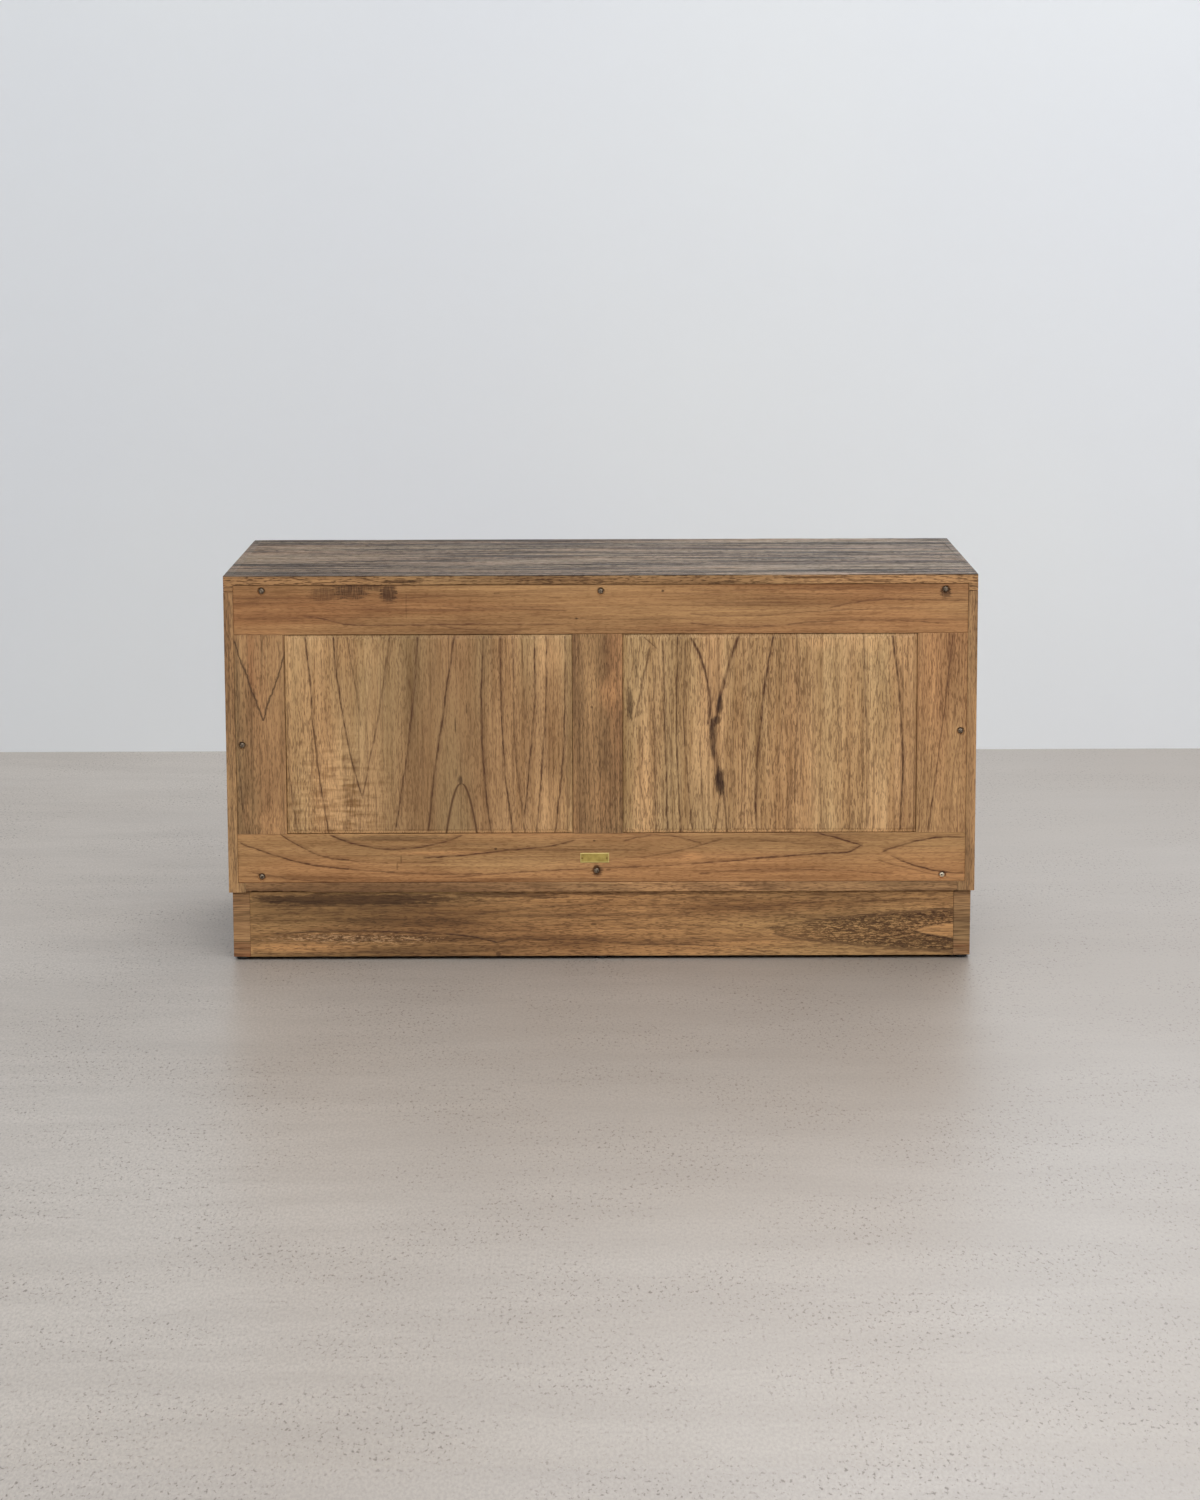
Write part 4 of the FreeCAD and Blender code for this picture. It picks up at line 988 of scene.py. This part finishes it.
# %% [markdown]
# Every CAD node wears its finish now. A node's object may take materials, but its mesh stays.

# %% Finishes on the frame
for name, slot in SLOTS.items():
    node = NODES[name]
    node.data.materials.clear()
    node.data.materials.append(FINISHES.get(name) or small[slot])
print("dressed", len(SLOTS), "nodes")

# %% [markdown]
# What the solids leave out is laid over them as pieces. A piece often starts as a copy of its CAD
# node, merged into plain faces. Once it is done it rides on the body of the node it stands for,
# so it moves with its door or drawer.

# %% Copies and pieces
def merged_copy(name):
    """A CAD node's mesh with its loose triangles merged into faces."""
    shape = bmesh.new()
    shape.from_mesh(NODES[name].data)
    bmesh.ops.remove_doubles(shape, verts=shape.verts, dist=1e-6)
    bmesh.ops.dissolve_limit(shape, angle_limit=radians(0.5), verts=shape.verts, edges=shape.edges)
    return shape


def new_object(name, data):
    """An object at the origin, from a bmesh shape, a list of points, or a ready mesh, lamp or lens."""
    if isinstance(data, (bmesh.types.BMesh, list)):
        source, data = data, bpy.data.meshes.new(name)
        if isinstance(source, list):
            data.from_pydata(source, [], [])
        else:
            source.to_mesh(data)
            source.free()
    made = bpy.data.objects.new(name, data)
    bpy.context.scene.collection.objects.link(made)
    return made


def smooth(mesh, angle):
    """Shades a mesh smooth, apart from the edges that are sharper than so many degrees."""
    for face in mesh.polygons:
        face.use_smooth = True
    mesh.set_sharp_from_angle(angle=radians(angle))


def lay_piece(shape, piece_name, *nodes, slot=None):
    """Turns a shape into a piece that stands for its CAD nodes and rides on their body."""
    piece = new_object(piece_name, shape)
    mesh = piece.data
    mesh.name = piece_name
    mesh.materials.clear()
    mesh.materials.append(FINISHES.get(nodes[0]) or small[SLOTS[nodes[0]]])
    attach(piece, NODES[nodes[0]]["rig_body"])
    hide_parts(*nodes)
    return mesh


print("pieces can be laid on", len(NODES), "nodes")

# %% [markdown]
# Real boards have no razor edges. A worn board starts as its CAD copy: the edges are rounded, the
# board is cut across every few centimetres, and the corners so made are rubbed a little, more in
# some places than in others. It only loses wood, so it stays inside the CAD box.

# %% A worn board
def worn_board(name, rounding=0.0008, spacing=0.02, rubbed=0.0004):
    """A board with rounded, unevenly rubbed edges."""
    sharp, shortest = radians(30), 0.008
    shape = merged_copy(name)
    edges = [e for e in shape.edges if len(e.link_faces) == 2 and e.calc_face_angle(0.0) > sharp
             and e.calc_length() > shortest]
    bmesh.ops.bevel(shape, geom=edges, offset=rounding, offset_type="OFFSET", segments=2, profile=0.6,
                    affect="EDGES", clamp_overlap=True)
    low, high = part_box(name)
    size = high - low
    axis = max(range(3), key=lambda i: size[i])
    normal = Vector((0.0, 0.0, 0.0))
    normal[axis] = 1.0
    count = int(size[axis] / spacing)
    for i in range(1, count):
        at = low.copy()
        at[axis] = low[axis] + size[axis] * i / count
        geometry = shape.verts[:] + shape.edges[:] + shape.faces[:]
        bmesh.ops.bisect_plane(shape, geom=geometry, plane_co=at, plane_no=normal, dist=1e-6)
    shape.normal_update()
    for corner in shape.verts:
        facing = [f.normal for f in corner.link_faces]
        if min(a.dot(b) for a in facing for b in facing) < 0.95:
            rub = chance.noise(corner.co * 45.0) + 0.5 * chance.noise(corner.co * 160.0)
            corner.co -= corner.normal * rubbed * max(0.0, rub)
    return shape


print("a CAD rail has", len(NODES["back_top_rail"].data.polygons), "triangles to start from")

# %% [markdown]
# Two boards had accidents. Splinters came off the lower back edge of the bottom board, at the left
# of the picture, and the middle screw hole of the lower rail was drilled twice, so it is an oval.

# %% Splinters and an oval hole
def chip_edge(shape, first, last, deep):
    """Splinters off the lower back edge of the bottom board between two places across the picture."""
    low_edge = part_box("bottom_board")[0].z
    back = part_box("bottom_board")[1].y
    inward, upward, fade_first, fade_last = 0.003, 0.002, 0.008, 0.02
    for corner in shape.verts:
        x, y, z = corner.co
        if y > back - inward and z < low_edge + upward and last < x < first:
            ragged = 0.55 + 0.5 * chance.noise(Vector((x * 160.0, 1.7, 0.0)))
            ends = min(1.0, (first - x) / fade_first, (x - last) / fade_last)
            corner.co.z += deep * ragged * ends


def oval_hole(shape, centre_x, centre_z, radius):
    """A screw hole that was drilled twice: its upper half is pulled up."""
    in_counterbore, pull = 0.2560, 0.45
    for corner in shape.verts:
        aside = Vector((corner.co.x - centre_x, corner.co.z - centre_z))
        if aside.length < radius and corner.co.y > in_counterbore and aside.y > 0.0:
            corner.co.z += aside.y * pull


FINE = ("back_top_rail", "back_bottom_rail", "back_left_stile", "back_right_stile", "back_centre_muntin",
        "plinth_back", "plinth_left", "plinth_right", "left_side", "right_side")
SPACINGS = {"bottom_board": 0.004, **{name: 0.009 for name in FINE}}
worn = [name for name, slot in sorted(SLOTS.items())
        if slot in KINDS and name not in ("carcass_dowels", "top_board")]
for name in worn:
    shape = worn_board(name, spacing=SPACINGS.get(name, 0.03))
    if name == "bottom_board":
        chip_edge(shape, seen_x(240), seen_x(312), 0.0035)
    if name == "back_bottom_rail":
        oval_hole(shape, 0.0075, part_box(name)[0].z + 0.0165, 0.0066)
    lay_piece(shape, "worn_" + name, name)
print("worn boards", len(worn))

# %% [markdown]
# What follows a rule is left to Geometry Nodes. These helpers make a tree with named inputs, end
# it with real geometry that wears a finish, and run it on an object to get a plain mesh.

# %% Geometry trees
def new_tree(name, inputs):
    """A Geometry Nodes tree with named inputs."""
    return new_group(name, {"Geometry": "Geometry", **inputs}, {"Geometry": "Geometry"}, "GeometryNodeTree")


def end_tree(tree, node, finish, made_of):
    """Ends a tree with real geometry in its finish."""
    real = add(tree, "GeometryNodeRealizeInstances", {"Geometry": Wire(node.outputs[0])})
    clad = add(tree, "GeometryNodeSetMaterial", {"Geometry": Wire(real.outputs[0]), "Material": finish})
    feed(made_of["Geometry"], Wire(clad.outputs[0]))


def grow(start, tree, values):
    """Runs a tree on an object, with its inputs set by identifier, and gives the plain mesh."""
    keys = {item.name: item.identifier for item in tree.interface.items_tree if item.in_out == "INPUT"}
    modifier = start.modifiers.new("grow", "NODES")
    modifier.node_group = tree
    for name, value in values.items():
        modifier[keys[name]] = value
    ready = start.evaluated_get(bpy.context.evaluated_depsgraph_get())
    mesh = bpy.data.meshes.new_from_object(ready)
    start.modifiers.remove(modifier)
    bpy.data.objects.remove(start)
    return mesh


print("trees ready")

# %% [markdown]
# The top board was brushed with wire until the hard rings stood up. The ridges follow a rule: the
# board's upper face is cut into a fine grid, and a tree lowers each point of it by a noise that is
# stretched along the grain.

# %% The brushed top
brushed, given, made_of = new_tree("brushed grain", {
    "Ridge length": 0.2, "Ridge width": 0.004, "Ridge depth": 0.0006, "Top height": 0.573, "Seed": 1.0,
    "Finish": "Material"})
along, aside, height = split(Wire(add(brushed, "GeometryNodeInputPosition").outputs[0]))
cell = join(along / given["Ridge length"], aside / given["Ridge width"], given["Seed"])
dip = step(cloud(cell), 0.35, 0.65)
near_top = calc("GREATER_THAN", height, given["Top height"] - 0.0001)
lower = join(0.0, 0.0, dip * given["Ridge depth"] * -1.0)
moved = add(brushed, "GeometryNodeSetPosition",
            {"Geometry": given["Geometry"], "Selection": near_top, "Offset": lower})
end_tree(brushed, moved, given["Finish"], made_of)

GRID_ROWS = 360
shape = worn_board("top_board", rounding=0.0012, spacing=0.0125)
low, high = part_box("top_board")
ahead = [f for f in shape.faces if f.normal.z > 0.9 and f.calc_center_median().z > high.z - 1e-5]
for i in range(1, GRID_ROWS):
    at = Vector((0.0, low.y + (high.y - low.y) * i / GRID_ROWS, 0.0))
    geometry = list({v for f in ahead for v in f.verts}) + list({e for f in ahead for e in f.edges}) + ahead
    cut = bmesh.ops.bisect_plane(shape, geom=geometry, plane_co=at, plane_no=(0.0, 1.0, 0.0), dist=1e-6)
    ahead = [f for f in cut["geom"] if isinstance(f, bmesh.types.BMFace) and f.calc_center_median().y > at.y]
start = new_object("top_start", shape)
mesh = grow(start, brushed, {"Top height": high.z, "Seed": 4.0, "Finish": FINISHES["top_board"]})
lay_piece(mesh, "brushed_top_board", "top_board")
print("top board", len(mesh.polygons), "faces")

# %% [markdown]
# Screws, pins, glides and knobs are turned on a lathe: one outline, spun about an axis. A screw
# also needs its cross, which a second shape cuts out of the head.

# %% The lathe and the cross
def turned_part(outline, segments=32):
    """Spins an outline of (radius, height) points about Z and closes it."""
    shape = bmesh.new()
    rim = [shape.verts.new((r, 0.0, z)) for r, z in outline]
    edges = [shape.edges.new(pair) for pair in zip(rim, rim[1:])]
    bmesh.ops.spin(shape, geom=rim + edges, cent=(0, 0, 0), axis=(0, 0, 1), angle=2 * pi, steps=segments)
    bmesh.ops.remove_doubles(shape, verts=shape.verts, dist=1e-5)
    bmesh.ops.recalc_face_normals(shape, faces=shape.faces)
    return new_object("turned", shape)


def cross_cut(head, width, deep):
    """Cuts a cross into the top of a screw head."""
    cutter = bmesh.new()
    for size in ((1.1, width, 2 * deep), (width, 1.1, 2 * deep)):
        bar = Matrix.Translation((0, 0, 1.0)) @ Matrix.Diagonal((*size, 1.0))
        bmesh.ops.create_cube(cutter, size=1.0, matrix=bar)
    knife = new_object("knife", cutter)
    cut = head.modifiers.new("cross", "BOOLEAN")
    cut.object = knife
    cut.solver = "EXACT"
    cut.use_self = True
    mesh = bpy.data.meshes.new_from_object(head.evaluated_get(bpy.context.evaluated_depsgraph_get()))
    bpy.data.objects.remove(head)
    bpy.data.objects.remove(knife)
    return new_object("screw", mesh)


screw = cross_cut(turned_part([(0, 1), (0.4, 0.97), (0.72, 0.84), (0.93, 0.55), (1, 0.2), (1, 0),
                               (0.42, -0.02), (0.42, -8), (0, -9)], 24), 0.26, 0.55)
print("one screw", len(screw.data.polygons), "faces")

# %% [markdown]
# One CAD node can hold many screws. Corners that are joined by edges belong to the same one, so a
# walk along the edges finds each of them, and its box says where it sits and how wide it is.

# %% Where the turned parts sit
def islands(name):
    """The lowest and highest corner of every separate part of a CAD node."""
    shape = merged_copy(name)
    left = set(shape.verts)
    found = []
    while left:
        group, edge = set(), [left.pop()]
        while edge:
            corner = edge.pop()
            group.add(corner)
            for link in corner.link_edges:
                other = link.other_vert(corner)
                if other in left:
                    left.discard(other)
                    edge.append(other)
        places = [v.co for v in group]
        found.append([Vector([pick(p[i] for p in places) for i in range(3)]) for pick in (min, max)])
    shape.free()
    return sorted(found, key=lambda box: tuple(box[0]))


def seats_of(name, axis, level):
    """The middle of each part, moved to one level along an axis, and the radius of the parts."""
    boxes = islands(name)
    places = [[(a + b) / 2 for a, b in zip(*box)] for box in boxes]
    for place in places:
        place[axis] = level
    return places, (boxes[0][1].x - boxes[0][0].x) / 2


print("screws in the back", len(islands("back_screws")))

# %% [markdown]
# One of each kind is made at size one, and a tree sets it out at every place, scaled to its radius
# and height. Each screw stops at its own angle, so the tree turns them by chance, from a fixed
# seed.

# %% Setting parts out
set_out, given, made_of = new_tree("set out", {
    "Part": "Object", "Radius": 0.004, "Height": 0.003, "Tilt": "Vector", "Seed": 1, "Finish": "Material"})
model = add(set_out, "GeometryNodeObjectInfo", {"Object": given["Part"]}).outputs["Geometry"]
size = join(given["Radius"], given["Radius"], given["Height"])
angle = add(set_out, "FunctionNodeRandomValue", {"Seed": given["Seed"]}, data_type="FLOAT")
angle.inputs[2].default_value = 0.0
angle.inputs[3].default_value = 2 * pi
spin = join(0.0, 0.0, Wire(angle.outputs[1]))
stand = add(set_out, "FunctionNodeRotateEuler", {"Rotation": given["Tilt"], "Rotate By": spin},
            rotation_type="EULER", space="LOCAL")
placed = add(set_out, "GeometryNodeInstanceOnPoints", {
    "Points": given["Geometry"], "Instance": Wire(model), "Rotation": Wire(stand.outputs[0]), "Scale": size})
end_tree(set_out, placed, given["Finish"], made_of)


def lay_turned(piece_name, node, part, places, radius, height, tilt=(0.0, 0.0, 0.0), seed=1):
    """Sets a turned part out at every place and lays the result as one piece."""
    mesh = grow(new_object("places", places), set_out, {
        "Part": part, "Radius": radius, "Height": height, "Tilt": tilt, "Seed": seed,
        "Finish": small[SLOTS[node]]})
    smooth(mesh, 35)
    lay_piece(mesh, piece_name, node)


TO_BACK, TO_FLOOR, TO_FRONT = (radians(-90), 0.0, 0.0), (radians(180), 0.0, 0.0), (radians(90), 0.0, 0.0)
print("inputs", [item.name for item in set_out.interface.items_tree if item.in_out == "INPUT"])

# %% [markdown]
# The screws of the back sit in their counterbores and those of the plinth point down. The glides
# are low discs under the plinth, and two tiny pins hold the plate.

# %% Screws, glides and pins
SEAT, FOOT_SCREW, GLIDE, PIN = 0.2575, 0.0026, 0.005, 0.0005
places, radius = seats_of("back_screws", 1, SEAT)
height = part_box("back_screws")[1].y - SEAT
lay_turned("back_screw_heads", "back_screws", screw, places, radius, height, TO_BACK, 5)
places, radius = seats_of("plinth_screws", 2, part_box("plinth_screws")[0].z + FOOT_SCREW)
lay_turned("plinth_screw_heads", "plinth_screws", screw, places, radius, FOOT_SCREW, TO_FLOOR, 7)

glide = turned_part([(0, 0), (0.84, 0), (0.95, 0.06), (1, 0.22), (1, 0.9), (0.97, 1), (0.3, 1), (0.3, 3.2),
                     (0, 3.3)])
lay_turned("round_glides", "floor_glides", glide, *seats_of("floor_glides", 2, 0.0), GLIDE)

pin = turned_part([(0, 1), (0.35, 0.96), (0.7, 0.8), (0.93, 0.5), (1, 0.15), (1, 0), (0.5, 0), (0.5, -3),
                   (0, -3.4)], 20)
places, radius = seats_of("nameplate_pins", 1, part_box("nameplate_pins")[1].y - PIN)
lay_turned("plate_pins", "nameplate_pins", pin, places, radius, PIN, TO_BACK)
print("pins", len(places), "radius", round(radius, 5))

# %% [markdown]
# The knobs are brass, turned with a small collar at the foot and a groove round the face. They
# stand on the front of the doors and drawers.

# %% Knobs
FRONT = -0.237
knob = turned_part([
    (0, 1), (0.3, 0.99), (0.56, 0.955), (0.6, 0.94), (0.64, 0.945), (0.82, 0.915), (0.94, 0.86), (1, 0.78),
    (0.98, 0.7), (0.86, 0.6), (0.66, 0.5), (0.47, 0.4), (0.37, 0.3), (0.36, 0.2), (0.42, 0.11), (0.56, 0.07),
    (0.62, 0.04), (0.62, 0), (0.2, 0), (0.2, -0.55), (0, -0.57)], 48)
for name in sorted(n for n in SLOTS if n.endswith("_knob")):
    a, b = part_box(name)
    spot = [((a.x + b.x) / 2, FRONT, (a.z + b.z) / 2)]
    lay_turned("turned_" + name, name, knob, spot, (b.x - a.x) / 2, FRONT - a.y, TO_FRONT)
for model in (screw, glide, pin, knob):
    bpy.data.objects.remove(model)
print("knobs stand out", round(FRONT - a.y, 4))

# %% [markdown]
# Hinges, strikes and magnet blocks keep their CAD shapes, with their long edges eased and their
# round parts shaded smooth.

# %% Eased metal
for name in sorted(SLOTS):
    if name.startswith("hinge") or name.endswith(("hinge_leaves", "strike_plate")) or name == "catch_magnets":
        shape = worn_board(name, rounding=0.0002, spacing=1.0, rubbed=0.0)
        smooth(lay_piece(shape, "eased_" + name, name), 30)
        print("eased", name)

# %% [markdown]
# The small plate on the back is thin brass with a raised rim, left bare. It is a grid whose height
# follows one rule: the rim stands up, the field is a little hollow, and knocks have dented it.

# %% The bare plate
COLUMNS, ROWS = 68, 24
RIM_HIGH, RIM_FROM_EDGE, RIM_WIDE, FIELD_DOWN, DENT = 0.00028, 0.0009, 0.0007, 0.00036, 0.00007
low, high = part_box("nameplate")
shape = bmesh.new()
points = []
for j in range(ROWS + 1):
    for i in range(COLUMNS + 1):
        x, z = low.x + (high.x - low.x) * i / COLUMNS, low.z + (high.z - low.z) * j / ROWS
        edge = min(x - low.x, high.x - x, z - low.z, high.z - z)
        rim = RIM_HIGH * max(0.0, 1.0 - abs(edge - RIM_FROM_EDGE) / RIM_WIDE)
        dent = DENT * chance.noise(Vector((x * 300.0, z * 300.0, 2.0)))
        eased = 0.0003 if edge < 0.0001 else 0.0
        points.append(shape.verts.new((x, high.y - FIELD_DOWN + rim + dent - eased, z)))
for j in range(ROWS):
    for n in range(j * (COLUMNS + 1), j * (COLUMNS + 1) + COLUMNS):
        shape.faces.new([points[k] for k in (n, n + COLUMNS + 1, n + COLUMNS + 2, n + 1)])
border = [e for e in shape.edges if len(e.link_faces) == 1]
sides = bmesh.ops.extrude_edge_only(shape, edges=border)["geom"]
for corner in (v for v in sides if isinstance(v, bmesh.types.BMVert)):
    corner.co.y = low.y
bmesh.ops.holes_fill(shape, edges=[e for e in shape.edges if len(e.link_faces) == 1])
bmesh.ops.recalc_face_normals(shape, faces=shape.faces)
plate = lay_piece(shape, "bare_plate", "nameplate")
smooth(plate, 50)
print("plate", len(plate.polygons), "faces")

# %% [markdown]
# The floor is pale polished stone: slow drifts of tone, a long sweep from cleaning, a fine grain,
# and dark specks that crowd in some places. Painted shade makes it a little darker towards -X and
# lighter towards +X.

# %% The floor
def flat_sheet(name, corners, material):
    """A flat sheet of the room."""
    mesh = bpy.data.meshes.new(name)
    mesh.from_pydata(corners, [], [range(len(corners))])
    mesh.materials.append(material)
    sheet = new_object(name, mesh)


floor_finish, sockets, where = new_finish("pale_floor")
drift = cloud(where, (1.2, 1.2, 1.2))
sweep = cloud(where, (3.0, 11.0, 1.0), 3.0, 0.6)
grain = cloud(where, (330.0, 110.0, 1.0), 2.0, 0.6)
crowd = step(cloud(where, (5.0, 5.0, 1.0)), 0.35, 0.62, 0.2, 1.0)
specks = step(cloud(where, (240.0, 100.0, 1.0), 2.0, 0.6), 0.57, 0.70)
# Painted light and shade: the floor's colours are darker towards -X and lighter towards +X.
aside = step(split(where)[0], -1.1, 1.1)
bare = blend(aside, paint(156, 149, 142), paint(178, 171, 163))
trodden = blend(aside, paint(150, 141, 132), paint(172, 164, 155))
colour = blend(step(drift, 0.3, 0.7), bare, trodden)
colour = blend(step(sweep, 0.35, 0.65, 0.0, 0.25), colour, paint(140, 132, 125))
colour = blend(step(grain, 0.35, 0.65, 0.0, 0.5), colour, paint(143, 136, 129))
feed(sockets["Base Color"], blend(specks * crowd, colour, paint(104, 95, 87)))
sockets["Roughness"].default_value = 0.38
sockets["Specular IOR Level"].default_value = 0.35
FAR = 9
flat_sheet("floor", [(-FAR, -FAR, 0), (FAR, -FAR, 0), (FAR, FAR, 0), (-FAR, FAR, 0)], floor_finish)
print("floor", 2 * FAR, "metres wide")

# %% [markdown]
# The wall is painted. Four walls face inwards and are clear from behind and to the lamps, so the
# cabinet stands in the same plain room from whichever side it is seen.

# %% The walls
wall_finish, sockets, where = new_finish("pale_wall")
tree = wall_finish.node_tree
# Painted light: the wall's colours are lighter towards -X.
aside = step(split(where)[0], 1.3, -1.3)
lit = blend(aside, paint(223, 226, 228), paint(232, 235, 237))
dull = blend(aside, paint(220, 223, 227), paint(229, 232, 236))
feed(sockets["Base Color"], blend(step(cloud(where, (0.9, 0.9, 0.9)), 0.3, 0.7), lit, dull))
sockets["Roughness"].default_value = 0.9
sockets["Specular IOR Level"].default_value = 0.1
behind = Wire(add(tree, "ShaderNodeNewGeometry").outputs["Backfacing"])
behind = calc("MAXIMUM", behind, Wire(add(tree, "ShaderNodeLightPath").outputs["Is Shadow Ray"]))
clear = Wire(add(tree, "ShaderNodeBsdfTransparent").outputs[0])
painted = Wire(tree.nodes["Principled BSDF"].outputs[0])
mixed = add(tree, "ShaderNodeMixShader", {0: behind, 1: painted, 2: clear})
feed(tree.nodes["Material Output"].inputs["Surface"], Wire(mixed.outputs[0]))

BACK, AHEAD, SIDE, HIGH = -1.668, 2.4, 3.4, 5.0
for name, start, end, turned in (("wall_behind", (-SIDE, BACK), (SIDE, BACK), True),
                                 ("wall_ahead", (-SIDE, AHEAD), (SIDE, AHEAD), False),
                                 ("wall_left", (-SIDE, BACK), (-SIDE, AHEAD), False),
                                 ("wall_right", (SIDE, BACK), (SIDE, AHEAD), True)):
    corners = [(*start, HIGH), (*start, 0), (*end, 0), (*end, HIGH)]
    flat_sheet(name, corners[::-1] if turned else corners, wall_finish)
print("room", SIDE * 2, "by", AHEAD - BACK)

# %% [markdown]
# Soft studio light: an even pale sky, and wide lamps high up. The key lamp is on the side of the
# camera and slightly warm, one hangs overhead, one fills the front and two weak ones the sides.
# Together they are about as strong as daylight in a room, so a colour renders close to how it is
# written.

# %% Light
world = bpy.data.worlds.new("studio")
bpy.context.scene.world = world
world.use_nodes = True
backdrop = world.node_tree.nodes["Background"]
backdrop.inputs["Color"].default_value = (0.9, 0.93, 1.0, 1.0)
backdrop.inputs["Strength"].default_value = 0.55


def lamp(name, place, aim, size, watts, tint=(1.0, 1.0, 1.0)):
    """A wide lamp at a place, turned to what it lights."""
    light = bpy.data.lights.new(name, "AREA")
    light.shape = "RECTANGLE"
    light.size, light.size_y = size
    light.energy = watts
    light.color = tint
    made = new_object(name, light)
    made.location = place
    made.rotation_euler = (Vector(aim) - Vector(place)).to_track_quat("-Z", "Y").to_euler()


lamp("key", (-0.75, 4.2, 3.4), (0.0, 0.0, 0.3), (3.0, 2.0), 127.0, (1.0, 0.98, 0.95))
lamp("overhead", (-0.5, 0.2, 4.2), (0.0, 0.0, 0.0), (4.0, 3.0), 50.0)
lamp("front_fill", (-1.5, -4.2, 3.2), (0.0, 0.0, 0.3), (3.0, 2.0), 90.0)
for side in (-1, 1):
    lamp("side_fill", (side * 3.4, -0.5, 1.6), (0.0, -0.3, 0.3), (2.0, 2.0), 6.0)
print("lamps", len(bpy.data.lights))

# %% [markdown]
# The camera stands where the picture was taken from: behind the cabinet, a little above it, with
# a long lens. Its place was worked out from the corners of the cabinet in the picture.

# %% Camera
PAN, PITCH, ROLL = 180.0 + 0.10, 90.0 - 9.24, -0.19
lens = bpy.data.cameras.new("camera")
lens.sensor_width = 36.0
lens.lens = 88.80
camera = new_object("camera", lens)
camera.location = (-0.0077, 5.619, 1.186)
turn = Matrix.Rotation(radians(PAN), 4, "Z") @ Matrix.Rotation(radians(PITCH), 4, "X")
camera.matrix_world = Matrix.Translation(camera.location) @ turn @ Matrix.Rotation(radians(ROLL), 4, "Z")
bpy.context.scene.camera = camera
bpy.context.scene.view_settings.view_transform = "Standard"
print("lens", lens.lens)
